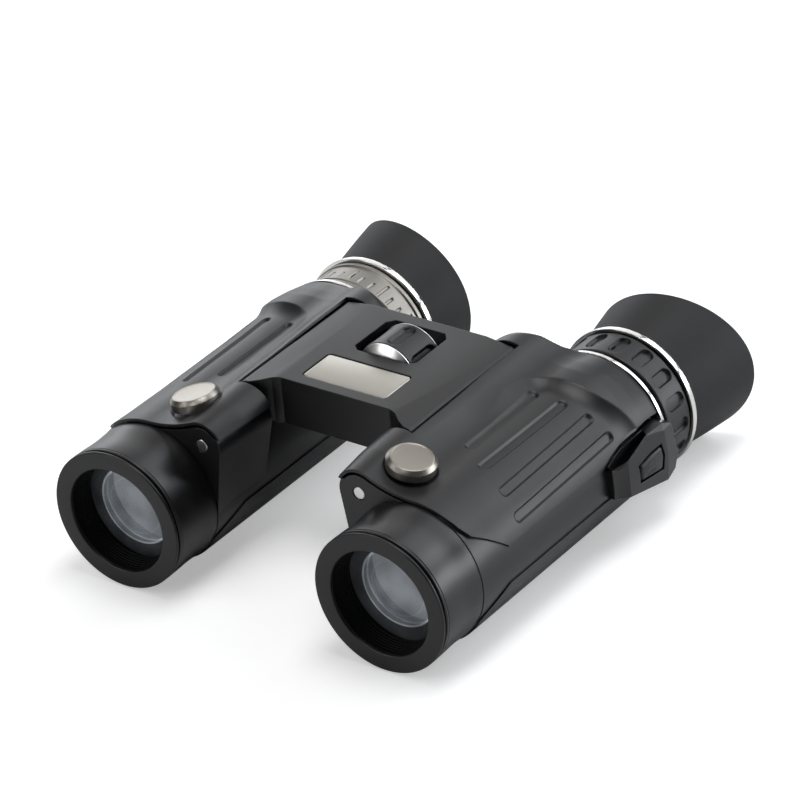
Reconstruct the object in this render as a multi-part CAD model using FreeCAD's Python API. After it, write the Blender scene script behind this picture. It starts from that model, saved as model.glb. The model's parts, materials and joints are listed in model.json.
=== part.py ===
"""Compact binoculars with two hinges, centre focusing and a diopter ring.

Row frame: X across the barrels, Y from the objectives to the eyecups, +Z up, origin on the
resting plane under the middle.  A barrel is modelled once, in its own frame: x outwards from
its optical axis, y backwards from its front face, z up from its axis.  Then it is placed on the
right (+X) and mirrored to the left.  Lengths are millimetres, angles are degrees.
"""
import FreeCAD
import Part
import math
import os

V = FreeCAD.Vector

# ---- clearances -----------------------------------------------------------------------------
RUN = 0.05                 # radial running fit of shafts, rings and slides
FREE = 0.35                # between bodies that pass each other
SEAT = 0.05                # between parts of one body that are pushed together
FAR = 60.0                 # larger than any section

# ---- the whole instrument -------------------------------------------------------------------
LENGTH = 115.7             # front face to the wing of the eyecup
HINGE_SPACING = 40.86      # between the two hinge axes
HINGE_ANGLE = 133.07       # from outwards, through up, to the hinge, seen from the optical axis
HINGE_CLEAR = 3.864        # from the barrel's surface to the hinge axis

# ---- barrel ---------------------------------------------------------------------------------
BODY_R = 16.3
BODY_WALL = 2.3
BODY_FRONT = 14.2          # front face of housing and lugs
BODY_LEN = 67.2
COVER_T = 1.3              # armour
COVER_STEP = 0.7           # armour proud of the lugs' bare sides
ARMOUR_FRONT = 0.7         # how far the armour stands over the housing, from front to rear
ARMOUR_MID = 0.45
ARMOUR_GRIP = 0.65
ARMOUR_REAR = 1.0
ARMOUR_LOW = 0.3           # underside armour, which the object rests on
THUMB_LIFT = 1.1           # rise of the armour behind the thumb recess
BAND_TOP = 5.1             # lower edge of the top armour, above the axis
BAND_LOW = -3.4            # upper edge of the bottom armour
LUG_EDGE_RISE = 2.57       # lower edge of the top armour on the lugs, above the hinge
LUG_R_FRONT = 5.6          # armour radius round the hinge at the front lug
LUG_R_MID = 6.75
LUG_R_REAR = 7.5
REAR_LUG_LEN = 9.0
GROOVE_W = 2.4
GROOVE_DEPTH = 0.7

# ---- front end and optics -------------------------------------------------------------------
BEZEL_R = 16.2
BEZEL_LEN = 2.0
TUBE_WAIST = 0.45          # how far the front tube draws in
OPENING_R = 12.1           # clear objective opening
LENS_LIP = 0.8             # how far the front ring covers the objective
LENS_SETBACK = 7.4         # objective's front surface behind the front face
LENS_T = 5.2
SPIGOT_LEN = 9.0           # of the front tube in the housing
FOCUS_LENS_R = 11.0
FOCUS_LENS_T = 2.8
PRISM_W = 16.0
FIELD_LENS_R = 9.0
FIELD_LENS_T = 3.4
EYE_LENS_R = 9.6
EYE_LENS_T = 5.0
OCULAR_R = 11.2            # bore of the eyepiece
OCULAR_LEN = 20.0

# ---- bridge and hinges ----------------------------------------------------------------------
BRIDGE_FRONT = 31.2
BRIDGE_LEN = 38.4
END_GAP = 0.3              # between the bridge and the lugs, along the hinge
BRIDGE_RISE = 7.67         # top of the bridge above the hinge axes
BRIDGE_DROP = 3.53         # underside of the bridge below the hinge axes
BRIDGE_WALL = 1.7
END_WALL = 2.5
WING_REACH = 3.7           # of the wings in front of the flat top
WING_OUT = 1.82            # outer edge of a wing outside its hinge axis
WING_FALL = 1.05           # outer edge of a wing below the flat top
TOP_INSET = 5.5            # edge of the flat top inside the hinge axis
HINGE_TUBE_R = 3.1
HINGE_BORE_R = 2.3
PIN_R = 1.5
PIN_REACH = 4.0            # of a hinge pin into the bridge
COVER_PLATE_T = 1.2
SCREW_R = 0.9
SCREW_HEAD_R = 1.5
BOSS_R = 1.7

# ---- focusing -------------------------------------------------------------------------------
WHEEL_R = 7.7
WHEEL_RISE = 2.37          # wheel axis above the hinge axes
WHEEL_Y = 22.1             # front of the drum behind the bridge's front
WHEEL_LEN = 9.9
WHEEL_BEVEL = 1.0
WHEEL_BEVEL_W = 1.7
WHEEL_RIM = 0.35           # bright line at each end of the grip
GRIP_T = 1.1
WHEEL_FLUTES = 12
FLUTE_W = 1.7
FLUTE_DEPTH = 0.55
SPINDLE_R = 2.0
JOURNAL_R = 1.2
BUSHING_R = 2.6
BUSHING_LEN = 1.6
FOCUS_TRAVEL = 2.4         # each way
ARM_OFFSET = 9.4           # middle of the focusing arm behind the bridge's front
ARM_T = 1.4
ARM_LEN = 2.0              # of the arm, along the barrel
EYE_WALL = 0.75            # round the neck of the focus rod
CELL_LEN = 5.2
CARRIAGE_OFFSET = 4.8      # middle of the carriage behind the focusing arm
CARRIAGE_LEN = 6.0
CARRIAGE_BAR_W = 3.0
CARRIAGE_BAR_T = 1.6
NUT_WALL = 1.5
ROD_R = 1.75
ROD_NECK_R = 1.1

# ---- eyepiece -------------------------------------------------------------------------------
EYEPIECE_R = 15.2
PLUG_LEN = 6.5             # of the eyepiece in the housing
RING_R = 16.2
RING_LEN = 9.0
RING_PADS = 22
PAD_W = 2.7
PAD_DEPTH = 0.42
TRIM_STEP = 0.65           # trim rings stand over the adjusting ring
TRIM_LEN = 1.5
RING_GAP = 0.3
PEG_R = 0.9
DIOPTER_TRAVEL = 1.2
EYE_SEAT_WALL = 2.2        # neck that the eyecup turns on
EYE_SEAT_LEN = 5.1
INSERT_T = 1.0
EYECUP_T = 1.7
EYECUP_R = 15.4
EYECUP_FLARE = 2.9         # how much wider its rim is
EYECUP_RISE = 1.25         # how far the rim's middle lies above the optical axis
EYECUP_WING = 6.3          # outer side reaches behind the top
EYECUP_DIP = 2.0           # inner side stays in front of the top

# ---- strap lug ------------------------------------------------------------------------------
LUG_FRONT = 59.5
LUG_LEN = 21.7
LUG_DEPTH = 3.7            # outer face over the housing
STRAP_SLOT_GAP = 0.35      # between housing and slot
STRAP_SLOT_W = 2.0
STRAP_SLOT_LEN = 10.6
BUTTON_T = 1.4
BUTTON_LEN = 8.3
BUTTON_TRAVEL = 0.8
LUG_SCREW_R = 0.7

# ---- badge and nameplate --------------------------------------------------------------------
BADGE_R = 5.5
BADGE_T = 2.3
BADGE_BEVEL = 0.9
BADGE_IN = 5.8             # from the optical axis towards the hinge
BADGE_BACK = 8.2           # behind the front face of the lugs
BADGE_RISE = 4.3           # top over the housing
BADGE_TILT = 13.0
PLATE_HALF = 10.8
PLATE_BACK = 3.1           # behind the front of the flat top
PLATE_LEN = 9.9
PLATE_T = 0.7
PLATE_CORNER = 1.0

# ---- values that follow ---------------------------------------------------------------------
AXIS_HEIGHT = BODY_R + ARMOUR_LOW                 # optical axes above the resting plane
HINGE_DISTANCE = BODY_R + HINGE_CLEAR
HINGE = (HINGE_DISTANCE * math.cos(math.radians(HINGE_ANGLE)),
         HINGE_DISTANCE * math.sin(math.radians(HINGE_ANGLE)))
HINGE_X = HINGE_SPACING / 2
HINGE_RISE = HINGE[1]
HALF_SPACING = HINGE_X - HINGE[0]
FRONT_Y = -LENGTH / 2
BODY_REAR = BODY_FRONT + BODY_LEN
BORE_R = BODY_R - BODY_WALL
LENS_R = OPENING_R + LENS_LIP
TRIM_R = RING_R + TRIM_STEP
BRIDGE_REAR = BRIDGE_FRONT + BRIDGE_LEN
BRIDGE_TOP = HINGE_RISE + BRIDGE_RISE
BRIDGE_LOW = HINGE_RISE - BRIDGE_DROP
CENTRE_FRONT = BRIDGE_FRONT + WING_REACH          # front of the flat top, between the wings
WING_X = HINGE_X + WING_OUT
WING_CUT = WING_X + FREE - HALF_SPACING           # inner end of the armour beside a wing
LUG_EDGE = HINGE_RISE + LUG_EDGE_RISE
LUG_FRONT_BACK = BRIDGE_FRONT - END_GAP
LUG_REAR_FRONT = BRIDGE_REAR + END_GAP
LUG_REAR_BACK = LUG_REAR_FRONT + REAR_LUG_LEN
CAVITY_FRONT = CENTRE_FRONT + END_WALL
CAVITY_REAR = BRIDGE_REAR - END_WALL
CAVITY_HALF = HINGE_X - HINGE_TUBE_R - 1.6
BUSHING_FRONT = (CAVITY_FRONT - BUSHING_LEN, CAVITY_FRONT)
BUSHING_REAR = (CAVITY_REAR, CAVITY_REAR + BUSHING_LEN)
AXLE_RISE = HINGE_RISE + WHEEL_RISE
WHEEL_FRONT = BRIDGE_FRONT + WHEEL_Y
WHEEL_REAR = WHEEL_FRONT + WHEEL_LEN
ARM_Y = BRIDGE_FRONT + ARM_OFFSET                 # at rest
CARRIAGE_Y = ARM_Y + CARRIAGE_OFFSET
CAGE_FRONT = ARM_Y + CELL_LEN / 2 + FOCUS_TRAVEL + 1.4
CAGE_REAR = BODY_REAR - PLUG_LEN - 2.4
RING_FRONT = BODY_REAR + RING_GAP * 2 + TRIM_LEN
RING_REAR = RING_FRONT + RING_LEN
RING_MIDDLE = (RING_FRONT + RING_REAR) / 2
EYECUP_FRONT = RING_REAR + RING_GAP * 2 + TRIM_LEN + RING_GAP
EYE_SEAT_R = OCULAR_R + EYE_SEAT_WALL
OCULAR_FRONT = BODY_REAR - OCULAR_R * 0.3
STRAP_SLOT_IN = BODY_R + STRAP_SLOT_GAP
LUG_OUT = BODY_R + LUG_DEPTH                      # outer face of the strap lug
LUG_BACK = LUG_FRONT + LUG_LEN
SCREW_PLACES = [(x, y) for x in (-CAVITY_HALF + 3.2, CAVITY_HALF - 3.2)
                for y in (CAVITY_FRONT + BOSS_R + 0.1, CAVITY_REAR - BOSS_R - 0.1)]


# ---- plain shapes ---------------------------------------------------------------------------
def box(x0, x1, y0, y1, z0, z1):
    """Box between two corners."""
    return Part.makeBox(x1 - x0, y1 - y0, z1 - z0, V(x0, y0, z0))


def rod(y0, y1, r, x=0.0, z=0.0):
    """Cylinder along Y."""
    return Part.makeCylinder(r, y1 - y0, V(x, y0, z), V(0, 1, 0))


def ring(y0, y1, r_out, r_in, x=0.0, z=0.0):
    """Tube along Y."""
    return rod(y0, y1, r_out, x, z).cut(rod(y0, y1, r_in, x, z))


def turned(profile, x=0.0, z=0.0):
    """Solid of revolution about Y from a closed list of (y, radius)."""
    points = [V(x + r, y, z) for y, r in profile]
    face = Part.Face(Part.makePolygon(points + points[:1]))
    return face.revolve(V(x, 0, z), V(0, 1, 0), 360)


def prism_x(outline, x0, x1):
    """Extrude a closed (y, z) outline along X."""
    points = [V(x0, y, z) for y, z in outline]
    return Part.Face(Part.makePolygon(points + points[:1])).extrude(V(x1 - x0, 0, 0))


def prism_y(outline, y0, y1):
    """Extrude a closed (x, z) outline along Y."""
    points = [V(x, y0, z) for x, z in outline]
    return Part.Face(Part.makePolygon(points + points[:1])).extrude(V(0, y1 - y0, 0))


def prism_z(outline, z0, z1):
    """Extrude a closed (x, y) outline along Z."""
    points = [V(x, y, z0) for x, y in outline]
    return Part.Face(Part.makePolygon(points + points[:1])).extrude(V(0, 0, z1 - z0))


def lens(y0, thick, r, front_sag, rear_sag):
    """Round lens: its edge runs from y0 to y0 + thick, its faces bulge by their sag."""
    def surface(y_edge, bulge):
        pole = V(0, y_edge + bulge, 0)
        rim = V(r, y_edge, 0)
        if bulge == 0:
            return Part.LineSegment(pole, rim).toShape()
        return Part.Arc(pole, V(r * 0.5, y_edge + bulge * 0.75, 0), rim).toShape()

    front = surface(y0, -front_sag)
    edge = Part.LineSegment(V(r, y0, 0), V(r, y0 + thick, 0)).toShape()
    rear = surface(y0 + thick, rear_sag)
    axis = Part.LineSegment(V(0, y0 - front_sag, 0), V(0, y0 + thick + rear_sag, 0)).toShape()
    wire = Part.Wire(Part.__sortEdges__([front, edge, rear, axis]))
    return Part.Face(wire).revolve(V(0, 0, 0), V(0, 1, 0), 360)


def turn(shape, degrees, x=0.0, z=0.0):
    """Copy turned about Y through (x, z); positive takes +Z towards +X."""
    copy = shape.copy()
    copy.rotate(V(x, 0, z), V(0, 1, 0), degrees)
    return copy


def slot_along_y(y0, y1, width, depth0, depth1):
    """Round-ended slot along Y, cut outwards (+Z) from depth0 to depth1."""
    half = width / 2
    body = box(-half, half, y0 + half, y1 - half, depth0, depth1)
    for y in (y0 + half, y1 - half):
        body = body.fuse(Part.makeCylinder(half, depth1 - depth0, V(0, y, depth0), V(0, 0, 1)))
    return body.removeSplitter()


# ---- the barrel's outer form ------------------------------------------------------------------
# y, radius round the hinge, radius round the optical axis, lift of that circle, blend radius
STATIONS = (
    (BODY_FRONT, LUG_R_FRONT, BODY_R + ARMOUR_FRONT, 0.0, 30.0),
    (LUG_FRONT_BACK, LUG_R_MID, BODY_R + ARMOUR_MID, 0.0, 17.0),
    (LUG_FRONT_BACK + 15.0, LUG_R_MID + 0.25, BODY_R + ARMOUR_MID, 0.0, 11.0),
    (LUG_REAR_FRONT - 8.0, LUG_R_MID + 0.4, BODY_R + ARMOUR_GRIP, THUMB_LIFT * 0.2, 11.0),
    (LUG_REAR_FRONT - 3.0, LUG_R_REAR, BODY_R + ARMOUR_REAR, THUMB_LIFT, 12.0),
    (LUG_REAR_FRONT + 3.0, LUG_R_REAR, BODY_R + ARMOUR_REAR, THUMB_LIFT, 14.0),
    (BODY_REAR, LUG_R_REAR, BODY_R + ARMOUR_MID, THUMB_LIFT * 0.3, 14.0),
)


def lobe(station, inset):
    """Closed wire: a circle round the axis and one round the hinge, joined by a tangent on the
    inner side and by a hollow blend on the top."""
    y, r1, r2, lift, blend = station
    r1 = r1 - inset
    r2 = r2 - inset
    blend = blend + inset
    c1 = V(HINGE[0], y, HINGE[1])
    c2 = V(0, y, lift)
    span = (c2 - c1).Length
    along = (c2 - c1) * (1 / span)
    across = V(-along.z, 0, along.x)
    a = ((r1 + blend) ** 2 - (r2 + blend) ** 2 + span ** 2) / (2 * span)
    b = math.sqrt((r1 + blend) ** 2 - a ** 2)
    centre = c1 + along * a + across * b
    top1 = c1 + (centre - c1) * (r1 / (r1 + blend))
    top2 = c2 + (centre - c2) * (r2 / (r2 + blend))
    slope = (r2 - r1) / span
    normal = along * -slope - across * math.sqrt(1 - slope ** 2)
    low1 = c1 + normal * r1
    low2 = c2 + normal * r2
    hollow = centre - (centre - (top1 + top2) * 0.5).normalize() * blend
    outer1 = c1 - along * r1
    outer2 = c2 + (along * 1.0 - normal * 0.2).normalize() * r2
    edges = [
        Part.Arc(top2, outer2, low2).toShape(),
        Part.LineSegment(low2, low1).toShape(),
        Part.Arc(low1, outer1, top1).toShape(),
        Part.Arc(top1, hollow, top2).toShape(),
    ]
    return Part.Wire(edges)


def envelope(inset):
    """Outer form of the barrel, moved inwards by inset, with the rear rounded down to the
    eyepiece."""
    form = Part.makeLoft([lobe(station, inset) for station in STATIONS], True, False)
    rear_lug = HINGE_DISTANCE + LUG_R_REAR
    cap = [
        (BODY_FRONT - 1, 0), (BODY_FRONT - 1, rear_lug + 2), (LUG_REAR_FRONT + 2.0, rear_lug + 1),
        (LUG_REAR_FRONT + 4.5, rear_lug - 0.6), (LUG_REAR_FRONT + 7.0, rear_lug - 4.0),
        (LUG_REAR_BACK, rear_lug - 8.0), (BODY_REAR, TRIM_R + 0.1), (BODY_REAR, 0),
    ]
    cap = [(y - (inset if y > BODY_FRONT else 0), max(r - inset, 0)) for y, r in cap]
    return form.common(turned(cap))


def top_zone():
    """Room of the top armour: over the top, down to the band outside and the lug edge inside."""
    front = BODY_FRONT
    outline = [
        (front, FAR), (front, 15.0), (front + 1.8, 11.2), (front + 5.1, 9.2),
        (front + 10.2, BAND_TOP), (BODY_REAR, BAND_TOP), (BODY_REAR, FAR),
    ]
    outer = prism_x(outline, WING_CUT, FAR)
    return outer.fuse(box(-FAR, WING_CUT, front, BODY_REAR, LUG_EDGE, FAR))


def bottom_zone():
    """Room of the bottom armour, with its front corner swept back."""
    front = BODY_FRONT
    outline = [
        (front, -FAR), (front, -7.6), (front + 4.6, -5.5), (front + 9.6, BAND_LOW),
        (BODY_REAR, BAND_LOW), (BODY_REAR, -FAR),
    ]
    return prism_x(outline, -FAR, FAR)


def bridge_room():
    """Space beside the hinge that the bridge needs, over the whole fold."""
    room = box(-FAR, WING_CUT, LUG_FRONT_BACK, LUG_REAR_FRONT, -FAR, FAR)
    return room.fuse(rod(LUG_FRONT_BACK, LUG_REAR_FRONT, HINGE_CLEAR, *HINGE))


def strap_lug_outline(gap):
    """Side view (y, z) of the strap lug, grown by gap."""
    knee = LUG_FRONT + STRAP_SLOT_LEN / 2
    return [
        (LUG_FRONT - gap, 3.9 + gap), (knee, 4.6 + gap), (LUG_FRONT + STRAP_SLOT_LEN + 1.4, 7.3 + gap),
        (LUG_BACK - 3.0, 7.0 + gap), (LUG_BACK + gap, 5.6 + gap), (LUG_BACK + gap, -5.0 - gap),
        (LUG_BACK - 3.5, -6.6 - gap), (knee, -3.4 - gap), (LUG_FRONT - gap, -2.2 - gap),
    ]


# ---- barrel parts ---------------------------------------------------------------------------
def solid_housing(outer, inner):
    """Housing before its bores: tube and lugs, set back where the armour lies."""
    lugs = outer.common(box(-FAR, -2.0, BODY_FRONT, LUG_FRONT_BACK, -FAR, FAR))
    lugs = lugs.fuse(outer.common(box(-FAR, -2.0, LUG_REAR_FRONT, LUG_REAR_BACK, -FAR, FAR)))
    body = rod(BODY_FRONT, BODY_REAR, BODY_R).fuse(lugs)
    for zone, core in (
        (top_zone(), inner),
        (bottom_zone(), rod(BODY_FRONT, BODY_REAR, AXIS_HEIGHT - COVER_T)),
    ):
        body = body.cut(zone.cut(core))
    return body.removeSplitter()


def focus_slot():
    """Slot towards the hinge for the focusing arm, over its whole travel."""
    half = ARM_T / 2 + FREE
    y0 = ARM_Y - ARM_LEN / 2 - FOCUS_TRAVEL - FREE
    y1 = ARM_Y + ARM_LEN / 2 + FOCUS_TRAVEL + FREE
    cut = box(BORE_R - 2, HINGE_DISTANCE, y0, y1, -half, half)
    return turn(cut, -HINGE_ANGLE)


def barrel_housing(solid):
    """Die-cast barrel: bore, hinge bores in both lugs, slot for the focusing arm."""
    body = solid.cut(rod(BODY_FRONT - 1, BODY_REAR + 1, BORE_R))
    body = body.cut(rod(BODY_FRONT - 1, BODY_REAR + 1, PIN_R, *HINGE))
    return body.cut(focus_slot()).cut(lug_screws())


def badge_axis():
    """Middle of the badge's top face and the direction out of it."""
    tilt = math.radians(BADGE_TILT)
    return V(-BADGE_IN, BODY_FRONT + BADGE_BACK, BODY_R + BADGE_RISE), V(math.sin(tilt), 0, math.cos(tilt))


def badge():
    """Round button with a bevelled rim, let into the armour."""
    top, out = badge_axis()
    disc = Part.makeCylinder(BADGE_R, BADGE_T - BADGE_BEVEL, top - out * BADGE_T, out)
    crown = Part.makeCone(BADGE_R, BADGE_R - BADGE_BEVEL * 0.8, BADGE_BEVEL, top - out * BADGE_BEVEL, out)
    return disc.fuse(crown).removeSplitter()


def badge_seat():
    """Pocket in the armour for the badge."""
    top, out = badge_axis()
    return Part.makeCylinder(BADGE_R + SEAT, BADGE_T + 2, top - out * BADGE_T, out)


def grip_groove(angle, y0, y1):
    """One of the finger grooves over the barrel, at an angle from the outer side."""
    floor = BODY_R + ARMOUR_MID - GROOVE_DEPTH
    return turn(slot_along_y(y0, y1, GROOVE_W, floor, floor + 3 * GROOVE_DEPTH), 90 - angle)


# angle, front end and rear end of each groove
GROOVES = (
    (99.5, LUG_FRONT_BACK + 5.7, LUG_REAR_FRONT - 7.3),
    (76.0, LUG_FRONT_BACK + 1.5, LUG_REAR_FRONT - 6.7),
    (53.5, LUG_FRONT_BACK - 0.5, LUG_REAR_FRONT - 5.3),
    (31.5, LUG_FRONT_BACK - 1.5, LUG_REAR_FRONT - 3.9),
)


def top_cover(outer, solid):
    """Top armour: follows the barrel and the lugs, with a swept front corner and grooves."""
    body = outer.common(top_zone()).cut(solid).cut(rod(BODY_FRONT, BODY_REAR, BORE_R))
    body = body.cut(bridge_room()).cut(focus_slot()).cut(badge_seat())
    body = body.cut(prism_x(strap_lug_outline(FREE), 0, FAR))
    for groove in GROOVES:
        body = body.cut(grip_groove(*groove))
    return max(body.Solids, key=lambda solid: solid.Volume)


def bottom_cover(solid):
    """Bottom armour under the barrel."""
    shell = rod(BODY_FRONT, BODY_REAR, AXIS_HEIGHT).common(bottom_zone())
    shell = shell.cut(rod(BODY_FRONT, BODY_REAR, AXIS_HEIGHT - COVER_T))
    return shell.cut(prism_x(strap_lug_outline(FREE), 0, FAR))


def objective_bezel():
    """Front ring with a rounded edge and a sleeve into the front tube."""
    edge = 0.45
    sleeve_r = LENS_R + 1.3
    return turned([
        (0, OPENING_R), (0, BEZEL_R - edge), (edge, BEZEL_R), (BEZEL_LEN, BEZEL_R),
        (BEZEL_LEN, sleeve_r), (BEZEL_LEN + 2.4, sleeve_r), (BEZEL_LEN + 2.4, LENS_R + 0.3),
        (1.2, LENS_R + 0.3), (0.6, OPENING_R),
    ])


def front_tube():
    """Waisted tube that holds the objective and plugs into the housing."""
    sleeve_r = LENS_R + 1.3 + SEAT
    start = BEZEL_LEN + 0.25
    waist_y = (start + BODY_FRONT) / 2 + 1.4
    waist_r = BEZEL_R - TUBE_WAIST
    seat_y = LENS_SETBACK + LENS_T
    spigot_y = BODY_FRONT + SPIGOT_LEN
    spigot_r = BORE_R - SEAT
    return turned([
        (start, sleeve_r), (start, BEZEL_R - 0.15), (start + 0.3, BEZEL_R),
        (waist_y - 4.4, BEZEL_R - 0.12), (waist_y - 2.0, waist_r + 0.08), (waist_y, waist_r),
        (waist_y + 2.0, waist_r + 0.1), (BODY_FRONT - 0.5, BODY_R - 0.05), (BODY_FRONT, BODY_R - 0.05),
        (BODY_FRONT, spigot_r), (spigot_y, spigot_r), (spigot_y, spigot_r - 1.2),
        (seat_y + 1.2, spigot_r - 1.2), (seat_y + 1.2, LENS_R - 0.7), (seat_y, LENS_R - 0.7),
        (seat_y, LENS_R + SEAT), (BEZEL_LEN + 2.6, LENS_R + SEAT), (BEZEL_LEN + 2.6, sleeve_r),
    ])


def objective_lens():
    """Cemented objective: crown in front, flint behind."""
    crown_t = LENS_T * 0.6
    crown = lens(LENS_SETBACK, crown_t, LENS_R, 0.9, 0.0)
    flint = lens(LENS_SETBACK + crown_t, LENS_T - crown_t, LENS_R, 0.0, 0.0)
    return Part.makeCompound([crown, flint])


def lens_retainer():
    """Threaded ring that holds the objective against its seat."""
    return ring(LENS_SETBACK - 1.6, LENS_SETBACK - 0.1, LENS_R, LENS_R - 0.6)


def focusing_cell():
    """Sliding cell with an arm whose eye runs on the focus rod in the hinge."""
    cell = ring(ARM_Y - CELL_LEN / 2, ARM_Y + CELL_LEN / 2, BORE_R - RUN, FOCUS_LENS_R)
    y0 = ARM_Y - ARM_LEN / 2
    y1 = ARM_Y + ARM_LEN / 2
    arm = turn(box(BORE_R - 1.0, HINGE_DISTANCE - ROD_NECK_R, y0, y1, -ARM_T / 2, ARM_T / 2), -HINGE_ANGLE)
    eye = rod(y0, y1, ROD_NECK_R + EYE_WALL, *HINGE)
    bore = rod(y0 - 1, y1 + 1, ROD_NECK_R + RUN, *HINGE)
    return cell.fuse([arm, eye]).cut(bore).removeSplitter()


def focusing_lens():
    """Negative lens in the sliding cell."""
    return lens(ARM_Y - FOCUS_LENS_T / 2, FOCUS_LENS_T, FOCUS_LENS_R, -0.7, -0.7)


def prism_top():
    """Height of the prisms' flat tops over the optical axis."""
    return BORE_R - 6.4


def prism_cage():
    """Sleeve with a square way through, which holds both prisms."""
    half_w = PRISM_W / 2
    half_h = prism_top() + 2.0
    body = rod(CAGE_FRONT, CAGE_REAR, BORE_R - SEAT)
    body = body.cut(box(-half_w, half_w, CAGE_FRONT + 2, CAGE_REAR - 2, -half_h, half_h))
    return body.cut(rod(CAGE_FRONT - 1, CAGE_REAR + 1, FIELD_LENS_R - 1))


def half_prism():
    """Front prism of the erecting pair."""
    top = prism_top()
    y0 = CAGE_FRONT + 3.2
    outline = [(y0, top - 0.2), (y0, -top + 0.2), (y0 + 6.8, -top - 1.9), (y0 + 13.2, top - 0.2)]
    return prism_x(outline, -PRISM_W / 2, PRISM_W / 2)


def roof_prism():
    """Rear prism of the erecting pair, with a roof along its lower side."""
    top = prism_top()
    y0 = CAGE_FRONT + 11.0
    y1 = CAGE_REAR - 2.1
    low = -top - 1.0
    half_w = PRISM_W / 2
    section = [(-half_w, -1.5), (0, low), (half_w, -1.5), (half_w, top + 0.4), (-half_w, top + 0.4)]
    side = [(y0, low), (y0 + 6.2, top + 0.4), (y1, top + 0.4), (y1, low)]
    return prism_x(side, -half_w, half_w).common(prism_y(section, y0 - 1, y1 + 1))


def eyepiece_housing():
    """Tube that carries the trim rings, the adjusting ring and the eyecup."""
    neck = EYECUP_FRONT - RING_GAP
    end = EYECUP_FRONT + EYE_SEAT_LEN
    body = turned([
        (BODY_REAR - PLUG_LEN, OCULAR_R), (BODY_REAR - PLUG_LEN, BORE_R - SEAT),
        (BODY_REAR, BORE_R - SEAT), (BODY_REAR, EYEPIECE_R), (neck, EYEPIECE_R),
        (neck, EYE_SEAT_R), (end, EYE_SEAT_R), (end, OCULAR_R),
    ])
    reach = PEG_R + DIOPTER_TRAVEL + 0.3
    slot_w = 2 * (PEG_R + 0.25)
    return body.cut(slot_along_y(RING_MIDDLE - reach, RING_MIDDLE + reach, slot_w, OCULAR_R - 1, EYEPIECE_R + 1))


def ocular_cell():
    """Sleeve with the field and eye lenses, which a peg moves along."""
    waist_r = FIELD_LENS_R - 0.8
    field_y = OCULAR_FRONT + 0.6 + FIELD_LENS_T + 0.4
    end = OCULAR_FRONT + OCULAR_LEN
    eye_y = end - EYE_LENS_T - 2.0
    body = turned([
        (OCULAR_FRONT, FIELD_LENS_R), (OCULAR_FRONT, OCULAR_R - RUN), (end, OCULAR_R - RUN),
        (end, EYE_LENS_R), (eye_y, EYE_LENS_R), (eye_y, waist_r), (field_y, waist_r), (field_y, FIELD_LENS_R),
    ])
    base_r = OCULAR_R - 1.0
    peg = Part.makeCylinder(PEG_R, EYEPIECE_R + 0.4 - base_r, V(0, RING_MIDDLE, base_r), V(0, 0, 1))
    return body.fuse(peg).removeSplitter()


def field_lens():
    """Front lens of the eyepiece."""
    return lens(OCULAR_FRONT + 0.6, FIELD_LENS_T, FIELD_LENS_R, 0.3, 1.0)


def eye_lens():
    """Lens nearest the eye."""
    return lens(OCULAR_FRONT + OCULAR_LEN - EYE_LENS_T - 1.7, EYE_LENS_T, EYE_LENS_R, 1.0, 0.5)


def trim_rings():
    """Bright rings in front of and behind the adjusting ring."""
    rings = []
    edge = 0.25
    for y0 in (BODY_REAR + RING_GAP, RING_REAR + RING_GAP):
        y1 = y0 + TRIM_LEN
        rings.append(turned([
            (y0, EYEPIECE_R), (y0, TRIM_R - edge), (y0 + edge, TRIM_R), (y1 - edge, TRIM_R),
            (y1, TRIM_R - edge), (y1, EYEPIECE_R),
        ]))
    return Part.makeCompound(rings)


def adjusting_ring(bore_r, pads):
    """Ring round the eyepiece, with an inner groove for the peg and pads for the fingers."""
    y0 = RING_FRONT
    y1 = RING_REAR
    edge = 0.3
    reach = PEG_R + DIOPTER_TRAVEL + FREE
    body = turned([
        (y0, bore_r), (y0, RING_R - edge), (y0 + edge, RING_R), (y1 - edge, RING_R),
        (y1, RING_R - edge), (y1, bore_r),
    ])
    body = body.cut(rod(RING_MIDDLE - reach, RING_MIDDLE + reach, EYEPIECE_R + 0.55))
    cutter = slot_along_y(y0 + 1.3, y1 - 1.3, PAD_W, RING_R - PAD_DEPTH, RING_R + 1)
    for i in range(pads):
        body = body.cut(turn(cutter, (i + 0.5) * 360 / pads))
    return body


def rim_cut():
    """Everything behind the eyecup's oblique rim."""
    rim_r = EYECUP_R + EYECUP_FLARE
    top_y = LENGTH - EYECUP_WING
    lean = -0.045
    arc = Part.Arc(V(-rim_r, top_y - EYECUP_DIP, 0), V(0, top_y, 0), V(rim_r, LENGTH, 0)).toShape()
    corners = [V(rim_r, LENGTH, 0), V(rim_r, LENGTH + FAR, 0), V(-rim_r, LENGTH + FAR, 0),
               V(-rim_r, top_y - EYECUP_DIP, 0)]
    face = Part.Face(Part.Wire([arc] + Part.makePolygon(corners).Edges))
    face.translate(V(0, -lean * FAR, -FAR))
    return face.extrude(V(0, 2 * lean * FAR, 2 * FAR))


def flare(start, wall):
    """Flared cone of the eyecup from start on, wall deep under its outside; it leans upwards."""
    wires = []
    whole = LENGTH - EYECUP_FRONT
    for share, grow, rise in ((0, 0, 0), (0.24, 0.29, 0.28), (0.48, 0.57, 0.6), (0.72, 0.81, 0.88), (1, 1, 1)):
        if share * whole >= start:
            middle = V(0, EYECUP_FRONT + share * whole, 0.15 + rise * EYECUP_RISE)
            r = EYECUP_R + grow * EYECUP_FLARE - wall
            wires.append(Part.Wire(Part.Circle(middle, V(0, 1, 0), r).toShape()))
    return Part.makeLoft(wires, True, False)


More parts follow.
